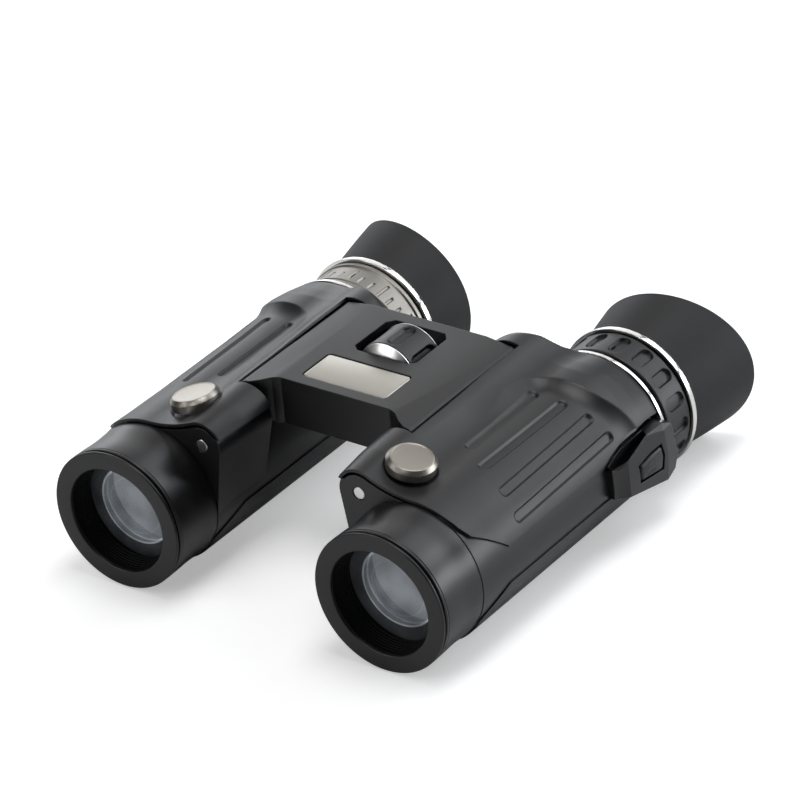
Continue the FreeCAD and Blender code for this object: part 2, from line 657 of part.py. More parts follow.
def eyecup():
    """Flared rubber cup with a wing on the outer side, and a lip behind its insert."""
    seat_r = EYE_SEAT_R + INSERT_T
    lip_y = EYECUP_FRONT + EYE_SEAT_LEN + FREE
    lip_t = 0.9
    body = flare(0, 0).cut(rod(EYECUP_FRONT - 1, lip_y, seat_r))
    body = body.cut(rod(EYECUP_FRONT - 1, lip_y + 2, EYE_SEAT_R - 1.4))
    hollow = flare(2, EYECUP_T).cut(rod(EYECUP_FRONT - 1, lip_y + lip_t, FAR))
    return body.cut(hollow).cut(rim_cut())


def eyecup_insert():
    """Hard sleeve inside the rubber cup, which turns on the eyepiece's neck."""
    return ring(EYECUP_FRONT, EYECUP_FRONT + EYE_SEAT_LEN + FREE, EYE_SEAT_R + INSERT_T, EYE_SEAT_R + RUN)


def hinge_pins():
    """Front and rear pin of one hinge, pressed into the lugs and free in the bridge."""
    front = rod(BODY_FRONT + 0.1, BRIDGE_FRONT + PIN_REACH, PIN_R, *HINGE)
    rear = rod(BRIDGE_REAR - PIN_REACH, LUG_REAR_BACK - 3.5, PIN_R, *HINGE)
    return Part.makeCompound([front, rear])


def strap_lug():
    """Block on the outer side: an outer plate over a slot for the strap."""
    body = prism_x(strap_lug_outline(0), 0, LUG_OUT).cut(rod(0, LENGTH, BODY_R))
    knee = LUG_FRONT + STRAP_SLOT_LEN / 2
    slope = [(LUG_OUT - 1.9, LUG_FRONT - 1), (LUG_OUT, knee), (LUG_OUT + 5, knee), (LUG_OUT + 5, LUG_FRONT - 1)]
    rear = [(LUG_OUT, LUG_BACK - 1.6), (LUG_OUT - 1.2, LUG_BACK + 1), (LUG_OUT + 5, LUG_BACK + 1),
            (LUG_OUT + 5, LUG_BACK - 1.6)]
    slot_y = LUG_FRONT + 3.6
    slot = box(STRAP_SLOT_IN, STRAP_SLOT_IN + STRAP_SLOT_W, slot_y, slot_y + STRAP_SLOT_LEN, -FAR, FAR)
    body = body.cut(prism_z(slope, -FAR, FAR)).cut(prism_z(rear, -FAR, FAR)).cut(slot)
    return body.cut(button_prism(FREE, STRAP_SLOT_IN, FAR)).cut(lug_screws())


def lug_screws():
    """Screws from inside the housing into the strap lug."""
    screws = []
    for z in (3.6, -2.8):
        start = V(BORE_R, LUG_BACK - 2.3, z)
        shank = Part.makeCylinder(LUG_SCREW_R, BODY_WALL + LUG_DEPTH * 0.6, start, V(1, 0, 0))
        head = Part.makeCylinder(LUG_SCREW_R + 0.5, 0.8, start, V(1, 0, 0))
        screws.append(shank.fuse(head).removeSplitter())
    return Part.makeCompound(screws)


def button_prism(gap, x0, x1):
    """Shield outline of the release button, grown by gap."""
    y0 = LUG_FRONT + STRAP_SLOT_LEN - 2.5
    y1 = y0 + BUTTON_LEN
    outline = [
        (y0 - gap, 1.9 + gap), (y0 + BUTTON_LEN / 2, 2.7 + gap), (y1 + gap, 2.8 + gap),
        (y1 + gap + 0.6, 0.2), (y1 + gap, -2.8 - gap), (y0 - gap, -1.6 - gap),
    ]
    return prism_x(outline, x0, x1)


def strap_button():
    """Release button, flush with the strap lug."""
    return button_prism(0, LUG_OUT + 0.1 - BUTTON_T, LUG_OUT + 0.1)


# ---- centre parts, in the row's X with the barrel's Y and Z ----------------------------------
def bridge_plan():
    """Plan of the bridge: flat centre, hollow-cornered wings that reach forward."""
    knee = HINGE_X - TOP_INSET - 0.8
    half = [
        (knee, CENTRE_FRONT), (knee + 2.0, CENTRE_FRONT - WING_REACH * 0.2),
        (knee + 4.0, CENTRE_FRONT - WING_REACH * 0.65), (HINGE_X - 0.4, BRIDGE_FRONT + 0.2),
        (HINGE_X + 5, BRIDGE_FRONT), (HINGE_X + 5, BRIDGE_REAR),
    ]
    return half + [(-x, y) for x, y in reversed(half)]


def bridge_section():
    """Cross-section of the bridge without its hinge tubes."""
    foot = HINGE_X - HINGE_TUBE_R
    half = [
        (HINGE_X - TOP_INSET, BRIDGE_TOP), (WING_X, BRIDGE_TOP - WING_FALL), (WING_X, HINGE_RISE + 1.2),
        (HINGE_X, HINGE_RISE), (foot + 0.3, BRIDGE_LOW + 1.2), (foot - 1.5, BRIDGE_LOW),
    ]
    return half + [(-x, z) for x, z in reversed(half)]


def focus_window():
    """Eight-sided window for the wheel, through the top and the bottom."""
    front = WHEEL_FRONT - WHEEL_BEVEL - FREE
    rear = WHEEL_REAR + 3.2
    wide = WHEEL_R + FREE
    half = [(wide - 1.6, front), (wide, front + 1.5), (wide, rear - 1.9), (wide - 1.6, rear)]
    return prism_z(half + [(-x, y) for x, y in reversed(half)], 0, FAR)


def hinge_cuts(x):
    """Bores and slots of the hinge tube at x: pins, rod, carriage arm and focusing arm."""
    side = math.copysign(1, x)
    room = PIN_REACH + 0.2
    cuts = [
        rod(BRIDGE_FRONT - 1, BRIDGE_REAR + 1, PIN_R + RUN, x, HINGE_RISE),
        rod(BRIDGE_FRONT + room, BRIDGE_REAR - room, HINGE_BORE_R, x, HINGE_RISE),
    ]
    half = CARRIAGE_BAR_T / 2 + FREE
    reach = CARRIAGE_BAR_W / 2 + FOCUS_TRAVEL + FREE
    inner = x - side * (HINGE_TUBE_R + 2.9)
    cuts.append(box(min(inner, x), max(inner, x), CARRIAGE_Y - reach, CARRIAGE_Y + reach,
                    HINGE_RISE - half, HINGE_RISE + half))
    wedge = [(0, 0)]
    wide = HINGE_TUBE_R * 2.1
    for angle in (-16, -50, -90, -124):
        wedge.append((wide * math.cos(math.radians(angle)), wide * math.sin(math.radians(angle))))
    reach = ARM_LEN / 2 + FOCUS_TRAVEL + FREE
    cuts.append(prism_y([(x + side * dx, HINGE_RISE + dz) for dx, dz in wedge], ARM_Y - reach, ARM_Y + reach))
    return cuts


def bridge():
    """Bridge housing: hollow, open below, with a hinge tube at each side."""
    body = prism_y(bridge_section(), BRIDGE_FRONT, BRIDGE_REAR)
    for x in (-HINGE_X, HINGE_X):
        body = body.fuse(rod(BRIDGE_FRONT, BRIDGE_REAR, HINGE_TUBE_R, x, HINGE_RISE))
    body = body.common(prism_z(bridge_plan(), 0, FAR)).removeSplitter()
    body = body.cut(box(-CAVITY_HALF, CAVITY_HALF, CAVITY_FRONT, CAVITY_REAR, BRIDGE_LOW - 1,
                        BRIDGE_TOP - BRIDGE_WALL))
    body = body.cut(focus_window()).cut(cover_plate(0))
    for x in (-HINGE_X, HINGE_X):
        for cut in hinge_cuts(x):
            body = body.cut(cut)
    body = body.cut(nameplate_prism(0.25, BRIDGE_TOP - PLATE_T - 0.05, BRIDGE_TOP + 1))
    for y0, y1 in (BUSHING_FRONT, BUSHING_REAR):
        body = body.cut(rod(y0, y1, BUSHING_R, 0, AXLE_RISE))
    return body


def cover_plate(gap):
    """Plate under the bridge's cavity, smaller by gap at its edges."""
    half = CAVITY_HALF + 1.0 - gap
    return box(-half, half, CAVITY_FRONT - 1.0 + gap, CAVITY_REAR + 1.0 - gap, BRIDGE_LOW,
               BRIDGE_LOW + COVER_PLATE_T)


def bridge_cover():
    """Plate that closes the bridge from below, with a window for the wheel."""
    plate = cover_plate(SEAT)
    top = BRIDGE_LOW + COVER_PLATE_T
    for x, y in SCREW_PLACES:
        plate = plate.fuse(Part.makeCylinder(BOSS_R, BRIDGE_TOP - BRIDGE_WALL - top, V(x, y, top)))
    for x, y in SCREW_PLACES:
        plate = plate.cut(Part.makeCylinder(SCREW_R, 8, V(x, y, BRIDGE_LOW - 1)))
        plate = plate.cut(Part.makeCylinder(SCREW_HEAD_R, 1.7, V(x, y, BRIDGE_LOW - 1)))
    return plate.cut(focus_window()).removeSplitter()


def bridge_screws():
    """Four screws that hold the bridge cover."""
    screws = []
    for x, y in SCREW_PLACES:
        shank = Part.makeCylinder(SCREW_R, 6.0, V(x, y, BRIDGE_LOW + 0.7))
        head = Part.makeCylinder(SCREW_HEAD_R, 0.65, V(x, y, BRIDGE_LOW + 0.05))
        arm = SCREW_HEAD_R * 0.6
        cross = box(x - arm, x + arm, y - 0.15, y + 0.15, BRIDGE_LOW - 0.5, BRIDGE_LOW + 0.35)
        cross = cross.fuse(box(x - 0.15, x + 0.15, y - arm, y + arm, BRIDGE_LOW - 0.5, BRIDGE_LOW + 0.35))
        screws.append(shank.fuse(head).cut(cross).removeSplitter())
    return Part.makeCompound(screws)


def nameplate_prism(gap, z0, z1):
    """Rounded rectangle of the nameplate, grown by gap."""
    half = PLATE_HALF + gap
    front = CENTRE_FRONT + PLATE_BACK
    block = box(-half, half, front - gap, front + PLATE_LEN + gap, z0, z1)
    upright = [e for e in block.Edges if abs(e.Vertexes[0].Z - e.Vertexes[-1].Z) > 0.1]
    return block.makeFillet(PLATE_CORNER + gap, upright)


def nameplate():
    """Bare metal plate let into the bridge."""
    return nameplate_prism(0, BRIDGE_TOP - PLATE_T - 0.05, BRIDGE_TOP - 0.05)


def focus_wheel_core():
    """Bright wheel: hub, dished front with a bevel, drum under the grip and a rim at each end."""
    front = WHEEL_FRONT - WHEEL_BEVEL
    drum_r = WHEEL_R - GRIP_T
    rim_r = WHEEL_R - 0.1
    face_r = rim_r - WHEEL_BEVEL_W
    return turned([
        (front + 1.2, SPINDLE_R), (front + 1.2, face_r - 1.0), (front, face_r - 0.6), (front, face_r),
        (WHEEL_FRONT, rim_r), (WHEEL_FRONT + WHEEL_RIM, rim_r), (WHEEL_FRONT + WHEEL_RIM, drum_r),
        (WHEEL_REAR - WHEEL_RIM, drum_r), (WHEEL_REAR - WHEEL_RIM, rim_r), (WHEEL_REAR, rim_r),
        (WHEEL_REAR, SPINDLE_R),
    ], 0, AXLE_RISE)


def focus_wheel_grip():
    """Soft sleeve round the wheel, with round-ended flutes."""
    y0 = WHEEL_FRONT + WHEEL_RIM
    y1 = WHEEL_REAR - WHEEL_RIM
    body = ring(y0, y1, WHEEL_R, WHEEL_R - GRIP_T, 0, AXLE_RISE)
    cutter = slot_along_y(y0 + 3.2, y1 - 1.2, FLUTE_W, WHEEL_R - FLUTE_DEPTH, WHEEL_R + 1)
    cutter.translate(V(0, 0, AXLE_RISE))
    for i in range(WHEEL_FLUTES):
        body = body.cut(turn(cutter, (i + 0.3) * 360 / WHEEL_FLUTES, 0, AXLE_RISE))
    return body


def focus_spindle():
    """Shaft of the wheel, with a journal at both ends."""
    body = rod(BUSHING_FRONT[0] + 0.1, BUSHING_REAR[1] - 0.1, JOURNAL_R - RUN, 0, AXLE_RISE)
    front = BUSHING_FRONT[1] + 0.3
    rear = BUSHING_REAR[0] - 0.3
    return body.fuse(rod(front, rear, SPINDLE_R, 0, AXLE_RISE)).removeSplitter()


def spindle_bushings():
    """Bushings pressed into the front and rear walls of the bridge."""
    parts = [ring(y0, y1, BUSHING_R, JOURNAL_R, 0, AXLE_RISE) for y0, y1 in (BUSHING_FRONT, BUSHING_REAR)]
    return Part.makeCompound(parts)


def focus_carriage():
    """Nut on the spindle with an arm to each focus rod."""
    y0 = CARRIAGE_Y - CARRIAGE_LEN / 2
    body = rod(y0, y0 + CARRIAGE_LEN, SPINDLE_R + NUT_WALL, 0, AXLE_RISE)
    half_t = CARRIAGE_BAR_T / 2
    half_w = CARRIAGE_BAR_W / 2
    bar = box(-HINGE_X, HINGE_X, CARRIAGE_Y - half_w, CARRIAGE_Y + half_w,
              HINGE_RISE - half_t, HINGE_RISE + half_t)
    for x in (-HINGE_X, HINGE_X):
        bar = bar.cut(rod(0, LENGTH, ROD_R, x, HINGE_RISE))
    return body.fuse(bar).cut(rod(0, LENGTH, SPINDLE_R + RUN, 0, AXLE_RISE)).removeSplitter()


def focus_rods():
    """Two rods inside the hinges; each has a neck that drives a focusing arm."""
    rods = []
    neck0 = ARM_Y - ARM_LEN / 2 - RUN
    neck1 = ARM_Y + ARM_LEN / 2 + RUN
    for x in (-HINGE_X, HINGE_X):
        whole = rod(neck0 - 1.1, CARRIAGE_Y + CARRIAGE_BAR_W / 2 + 1.0, ROD_R, x, HINGE_RISE)
        rods.append(whole.cut(ring(neck0, neck1, ROD_R + 1, ROD_NECK_R, x, HINGE_RISE)))
    return Part.makeCompound(rods)


# ---- placing and writing --------------------------------------------------------------------
def barrel_nodes():
    """All parts of one barrel, in the barrel's frame."""
    outer = envelope(0.0)
    inner = envelope(COVER_T)
    solid = solid_housing(envelope(COVER_STEP), inner)
    return {
        "objective_bezel": objective_bezel(),
        "front_tube": front_tube(),
        "objective_lens": objective_lens(),
        "lens_retainer": lens_retainer(),
        "barrel_housing": barrel_housing(solid),
        "focusing_cell": focusing_cell(),
        "focusing_lens": focusing_lens(),
        "prism_cage": prism_cage(),
        "half_prism": half_prism(),
        "roof_prism": roof_prism(),
        "eyepiece_housing": eyepiece_housing(),
        "ocular_cell": ocular_cell(),
        "field_lens": field_lens(),
        "eye_lens": eye_lens(),
        "top_cover": top_cover(outer, solid),
        "bottom_cover": bottom_cover(solid),
        "badge": badge(),
        "hinge_pins": hinge_pins(),
        "trim_rings": trim_rings(),
        "eyecup": eyecup(),
        "eyecup_insert": eyecup_insert(),
        "strap_lug": strap_lug(),
        "strap_button": strap_button(),
        "lug_screws": lug_screws(),
    }


def centre_nodes():
    """Parts between the barrels."""
    return {
        "bridge": bridge(),
        "bridge_cover": bridge_cover(),
        "bridge_screws": bridge_screws(),
        "nameplate": nameplate(),
        "focus_wheel_core": focus_wheel_core(),
        "focus_wheel_grip": focus_wheel_grip(),
        "focus_spindle": focus_spindle(),
        "spindle_bushings": spindle_bushings(),
        "focus_carriage": focus_carriage(),
        "focus_rods": focus_rods(),
    }


def placed(shape, x):
    """Copy moved from the barrel's frame to the row's frame, x across."""
    copy = shape.copy()
    copy.translate(V(x, FRONT_Y, AXIS_HEIGHT))
    return copy


def write(name, shape):
    """Write one node, after a look at its solids."""
    if not shape.isValid() or not shape.Solids:
        raise ValueError(name + " is not a valid solid")
    shape.exportStep("parts/" + name + ".step")
    print(name, len(shape.Solids), round(shape.Volume, 2))


def main():
    """Build every node and write it."""
    os.makedirs("parts", exist_ok=True)
    nodes = {name: placed(shape, 0.0) for name, shape in centre_nodes().items()}
    barrel = barrel_nodes()
    right_only = {"diopter_ring": adjusting_ring(EYEPIECE_R + RUN, RING_PADS)}
    left_only = {"scale_ring": adjusting_ring(EYEPIECE_R, 0)}
    for name, shape in {**barrel, **right_only}.items():
        nodes["right_" + name] = placed(shape, HALF_SPACING)
    for name, shape in {**barrel, **left_only}.items():
        nodes["left_" + name] = placed(shape, HALF_SPACING).mirror(V(0, 0, 0), V(1, 0, 0))
    for name, shape in nodes.items():
        write(name, shape)


main()
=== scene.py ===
"""Compact two-hinge binoculars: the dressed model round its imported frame.

Every barrel piece is shaped in barrel millimetres: x outwards, y back from the front face and z
up from the optical axis. BarrelFrame then puts the mesh where the frame's boxes say.
"""

import json
import logging
import math
from dataclasses import dataclass
from enum import Enum
from typing import Callable, Sequence

import bmesh
import bpy
from mathutils import Matrix, Vector

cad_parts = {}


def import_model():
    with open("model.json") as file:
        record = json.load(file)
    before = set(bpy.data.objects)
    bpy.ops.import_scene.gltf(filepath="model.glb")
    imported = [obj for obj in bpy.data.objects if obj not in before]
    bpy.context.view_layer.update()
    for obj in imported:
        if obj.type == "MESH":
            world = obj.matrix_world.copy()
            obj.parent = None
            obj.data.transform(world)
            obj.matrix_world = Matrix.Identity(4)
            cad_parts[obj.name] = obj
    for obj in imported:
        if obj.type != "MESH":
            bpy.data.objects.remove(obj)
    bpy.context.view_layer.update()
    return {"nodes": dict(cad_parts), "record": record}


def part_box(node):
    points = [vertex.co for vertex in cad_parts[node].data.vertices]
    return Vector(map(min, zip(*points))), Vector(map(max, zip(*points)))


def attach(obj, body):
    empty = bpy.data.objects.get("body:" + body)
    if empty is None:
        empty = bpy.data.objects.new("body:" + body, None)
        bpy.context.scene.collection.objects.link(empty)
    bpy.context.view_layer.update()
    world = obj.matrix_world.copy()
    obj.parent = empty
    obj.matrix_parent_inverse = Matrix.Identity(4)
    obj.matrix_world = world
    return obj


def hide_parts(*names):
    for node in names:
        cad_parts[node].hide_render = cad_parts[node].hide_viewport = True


log = logging.getLogger("binoculars")

MM = 0.001

Rgb = tuple[float, float, float]
Profile = Sequence[tuple[float, float]]


class Side(Enum):
    """A barrel, as seen from in front with the wheel on top."""

    LEFT = "left"
    RIGHT = "right"

    @property
    def sign(self) -> float:
        """Direction of outwards along X."""
        return 1.0 if self is Side.RIGHT else -1.0

    def node(self, name: str) -> str:
        """Name of this barrel's own node."""
        return f"{self.value}_{name}"


# ---- node building ---------------------------------------------------------------------------
class Graph:
    """Small helper round one node tree."""

    def __init__(self, tree: bpy.types.NodeTree) -> None:
        """Keep the tree of a material, a world or a group."""
        self.tree = tree
        self.place = 0

    @classmethod
    def fresh(cls, owner: bpy.types.ID) -> "Graph":
        """Give a material or a world an empty node tree.

        Args:
            owner: The material or the world.

        Returns:
            The helper round its tree.
        """
        owner.use_nodes = True
        owner.node_tree.nodes.clear()
        return cls(owner.node_tree)

    def put(self, value: object, into: bpy.types.NodeSocket) -> None:
        """Join a socket to an input, or give the input a plain value.

        Args:
            value: The socket or the value.
            into: The input.
        """
        if isinstance(value, bpy.types.NodeSocket):
            self.tree.links.new(value, into)
        else:
            into.default_value = value

    def add(self, kind: str, *inputs: object, **values: object) -> bpy.types.Node:
        """Add a node, set its properties and fill its inputs.

        Args:
            kind: Node type, without the ShaderNode prefix.
            *inputs: Values or sockets for the first inputs.
            **values: Properties, or inputs with spaces written as underscores.

        Returns:
            The new node.
        """
        prefix = "" if kind.startswith("NodeGroup") else "ShaderNode"
        node = self.tree.nodes.new(prefix + kind)
        node.location = (self.place * 180 - 1600, 0)
        self.place += 1
        for key, value in values.items():
            if key in node.bl_rna.properties:
                setattr(node, key, value)
            else:
                self.put(value, node.inputs[key.replace("_", " ")])
        for value, into in zip(inputs, node.inputs):
            self.put(value, into)
        return node

    def math(self, operation: str, a: object, b: object = 0.0, clamp: bool = False) -> bpy.types.NodeSocket:
        """Combine two numbers or sockets.

        Args:
            operation: Blender's name of the operation.
            a: First number or socket.
            b: Second number or socket.
            clamp: Whether the result stays between 0 and 1.

        Returns:
            The result's socket.
        """
        return self.add("Math", a, b, operation=operation, use_clamp=clamp).outputs[0]

    def remap(self, value: bpy.types.NodeSocket, low: float, high: float, to_low: float,
              to_high: float) -> bpy.types.NodeSocket:
        """Map a value's range to another, clamped.

        Args:
            value: The socket to map.
            low: Value that gives to_low.
            high: Value that gives to_high.
            to_low: Result at and below low.
            to_high: Result at and above high.

        Returns:
            The result's socket.
        """
        return self.add("MapRange", clamp=True, Value=value, From_Min=low, From_Max=high, To_Min=to_low,
                        To_Max=to_high).outputs["Result"]

    def scaled(self, colour: bpy.types.NodeSocket, share: bpy.types.NodeSocket) -> bpy.types.NodeSocket:
        """Brighten or dim a colour by a share."""
        return self.add("VectorMath", colour, operation="SCALE", Scale=share).outputs[0]

    def seen(self) -> bpy.types.NodeSocket:
        """1 for what is seen directly or through glass, 0 for the light that falls on things."""
        path = self.add("LightPath")
        return self.math("MAXIMUM", path.outputs["Is Camera Ray"], path.outputs["Is Transmission Ray"])


class Groups:
    """The effects that several finishes share, each built once."""

    def __init__(self) -> None:
        """Build every group."""
        self.grain = self._grain()
        self.drift = self._drift()
        self.strokes = self._strokes()

    @staticmethod
    def _new(name: str, ins: dict[str, object], outs: Sequence[str]
             ) -> tuple[Graph, bpy.types.Node, bpy.types.Node]:
        """Make an empty group with its sockets: Vector and Color are what they say, the rest numbers.

        Args:
            name: Name of the group.
            ins: Default of each input.
            outs: Name of each output.

        Returns:
            The graph helper, the input node and the output node.
        """
        tree = bpy.data.node_groups.new(name, "ShaderNodeTree")
        for way, label in [*(("INPUT", label) for label in ins), *(("OUTPUT", label) for label in outs)]:
            kind = label if label in ("Vector", "Color") else "Float"
            socket = tree.interface.new_socket(label, in_out=way, socket_type=f"NodeSocket{kind}")
            if way == "INPUT":
                socket.default_value = ins[label]
        graph = Graph(tree)
        return graph, graph.add("NodeGroupInput"), graph.add("NodeGroupOutput")

    def _grain(self) -> bpy.types.NodeTree:
        """Height of a moulded or painted skin.

        Returns:
            The group; Pitch is the grain's size in millimetres.
        """
        g, start, end = self._new("moulded_grain", {"Vector": (0.0, 0.0, 0.0), "Pitch": 0.2}, ["Height"])
        place = {"Vector": start.outputs["Vector"], "Scale": g.math("DIVIDE", 1 / MM, start.outputs["Pitch"])}
        fine = g.add("TexNoise", Detail=2.0, Roughness=0.6, **place)
        cells = g.add("TexVoronoi", feature="SMOOTH_F1", Smoothness=0.6, **place)
        rough = g.math("MULTIPLY", cells.outputs["Distance"], 0.9)
        g.put(g.math("ADD", fine.outputs["Fac"], rough), end.inputs["Height"])
        return g.tree

    def _drift(self) -> bpy.types.NodeTree:
        """Slow change of colour and gloss, with faint dust and handling marks.

        Returns:
            The group; Amount is how far colour and roughness move.
        """
        ins = {"Vector": (0.0, 0.0, 0.0), "Color": (0.5, 0.5, 0.5, 1.0), "Roughness": 0.5, "Amount": 0.1}
        g, start, end = self._new("slow_drift", ins, ["Color", "Roughness"])
        where = start.outputs["Vector"]
        broad = g.add("TexNoise", Vector=where, Scale=70.0, Detail=4.0, Roughness=0.55)
        speck = g.add("TexNoise", Vector=where, Scale=900.0, Detail=2.0)
        wave = g.math("SUBTRACT", broad.outputs["Fac"], 0.5)
        dust = g.remap(speck.outputs["Fac"], 0.66, 0.8, 0.0, 0.5)
        change = g.math("MULTIPLY", g.math("ADD", wave, dust), start.outputs["Amount"])
        bright = g.math("ADD", 1.0, g.math("MULTIPLY", change, 2.0))
        g.put(g.scaled(start.outputs["Color"], bright), end.inputs["Color"])
        g.put(g.math("ADD", start.outputs["Roughness"], change, clamp=True), end.inputs["Roughness"])
        return g.tree

    def _strokes(self) -> bpy.types.NodeTree:
        """Fine parallel strokes of brushed or turned metal.

        Returns:
            The group; the strokes run along the vector's X.
        """
        g, start, end = self._new("metal_strokes", {"Vector": (0.0, 0.0, 0.0), "Pitch": 0.08}, ["Value"])
        stretch = g.add("Mapping", Vector=start.outputs["Vector"], Scale=(0.02, 1.0, 1.0))
        noise = g.add("TexNoise", Vector=stretch.outputs["Vector"], Detail=3.0, Roughness=0.7,
                      Scale=g.math("DIVIDE", 1 / MM, start.outputs["Pitch"]))
        g.put(noise.outputs["Fac"], end.inputs["Value"])
        return g.tree


@dataclass(frozen=True)
class Finish:
    """A finish of plastic, rubber, paint or metal.

    Attributes:
        name: Material name.
        colour: Linear base colour.
        roughness: Middle roughness.
        metallic: 0 or 1.
        specular: Specular level of the surface.
        drift: How far colour and roughness wander.
        pitch: Size of the grain or strokes, mm; 0 is none.
        depth: Height of the grain or strokes, mm.
        strokes: Whether the relief is strokes instead of grain.
        edge: Radius of the softened edges, mm; 0 is none.
    """

    name: str
    colour: Rgb
    roughness: float = 0.5
    metallic: float = 0.0
    specular: float = 0.5
    drift: float = 0.1
    pitch: float = 0.0
    depth: float = 0.0
    strokes: bool = False
    edge: float = 0.0

    def build(self, groups: Groups) -> bpy.types.Material:
        """Make the material.

        Args:
            groups: The shared effects.

        Returns:
            The node material.
        """
        material = bpy.data.materials.new(self.name)
        g = Graph.fresh(material)
        where = g.add("TexCoord").outputs["Object"]
        drift = g.add("Group", node_tree=groups.drift, Vector=where, Color=(*self.colour, 1.0),
                      Roughness=self.roughness, Amount=self.drift)
        normal: dict[str, bpy.types.NodeSocket] = {}
        if self.edge:
            normal["Normal"] = g.add("Bevel", samples=4, Radius=self.edge * MM).outputs["Normal"]
        if self.pitch:
            relief = g.add("Group", node_tree=groups.strokes if self.strokes else groups.grain, Vector=where,
                           Pitch=self.pitch)
            bump = g.add("Bump", Strength=1.0, Distance=self.depth * MM, Height=relief.outputs[0], **normal)
            normal["Normal"] = bump.outputs["Normal"]
        skin = g.add("BsdfPrincipled", Metallic=self.metallic, Specular_IOR_Level=self.specular,
                     Base_Color=drift.outputs["Color"], Roughness=drift.outputs["Roughness"], **normal)
        g.add("OutputMaterial", Surface=skin.outputs["BSDF"])
        return material


@dataclass(frozen=True)
class Glass:
    """Clear or coated optical glass.

    Attributes:
        name: Material name.
        tint: Colour of what passes through.
        coating: Weight of the anti-reflection coat.
        roughness: Roughness of the polish.
        painted_rings: Radius in millimetres and brightness of the rings of painted reflection that glow in a
            coated glass.
        axis: Distance of the barrel's axis from the middle and its height, metres.
    """

    name: str
    tint: Rgb
    coating: float = 0.0
    roughness: float = 0.02
    painted_rings: Profile = ()
    axis: tuple[float, float] = (0.0, 0.0)

    def build(self, groups: Groups) -> bpy.types.Material:
        """Make the material.

        Args:
            groups: The shared effects.

        Returns:
            The node material.
        """
        material = bpy.data.materials.new(self.name)
        g = Graph.fresh(material)
        where = g.add("TexCoord").outputs["Object"]
        drift = g.add("Group", node_tree=groups.drift, Vector=where, Color=(*self.tint, 1.0),
                      Roughness=self.roughness, Amount=0.02)
        glass = g.add("BsdfPrincipled", Roughness=drift.outputs["Roughness"], Transmission_Weight=1.0,
                      IOR=1.52, Coat_Weight=self.coating, Coat_Roughness=0.05)
        colour = drift.outputs["Color"]
        # Painted reflection: the coated glass glows with soft rings that stand in for reflections of the
        # lenses behind it, and its transmission is lowered so they show.
        if self.painted_rings:
            colour = g.scaled(colour, self.painted_reflection(g, where))
            g.put(0.7, glass.inputs["Transmission Weight"])
            g.put(0.3, glass.inputs["Emission Strength"])
            g.put(colour, glass.inputs["Emission Color"])
        g.put(colour, glass.inputs["Base Color"])
        g.add("OutputMaterial", Surface=glass.outputs["BSDF"])
        return material

    def painted_reflection(self, g: Graph, where: bpy.types.NodeSocket) -> bpy.types.NodeSocket:
        """Painted reflection: soft glowing rings round the barrel's axis, uneven round the turn, that stand
        in for reflections of the lenses inside.

        Args:
            g: The material's graph.
            where: The object's own coordinates.

        Returns:
            The brightness of the painted reflection.
        """
        place = g.add("SeparateXYZ", where)
        side = g.math("MULTIPLY", g.math("SIGN", place.outputs["X"]), self.axis[0])
        across = g.math("SUBTRACT", place.outputs["X"], side)
        height = g.math("SUBTRACT", place.outputs["Z"], self.axis[1])
        square = g.math("ADD", g.math("MULTIPLY", across, across), g.math("MULTIPLY", height, height))
        radius = g.math("MULTIPLY", g.math("SQRT", square), 1.0 / MM)
        reach = self.painted_rings[-1][0]
        rings = g.add("ValToRGB", g.math("DIVIDE", radius, reach))
        ramp = rings.color_ramp
        ramp.interpolation = "LINEAR"
        for index, (at, bright) in enumerate(self.painted_rings):
            stop = ramp.elements[index] if index < 2 else ramp.elements.new(at / reach)
            stop.position = at / reach
            stop.color = (bright, bright, bright, 1.0)
        reflection_patches = g.add("TexNoise", Vector=where, Scale=160.0, Detail=1.0)
        return g.math("MULTIPLY", rings.outputs["Color"], g.remap(reflection_patches.outputs["Fac"], 0.3, 0.7, 0.6, 1.2))


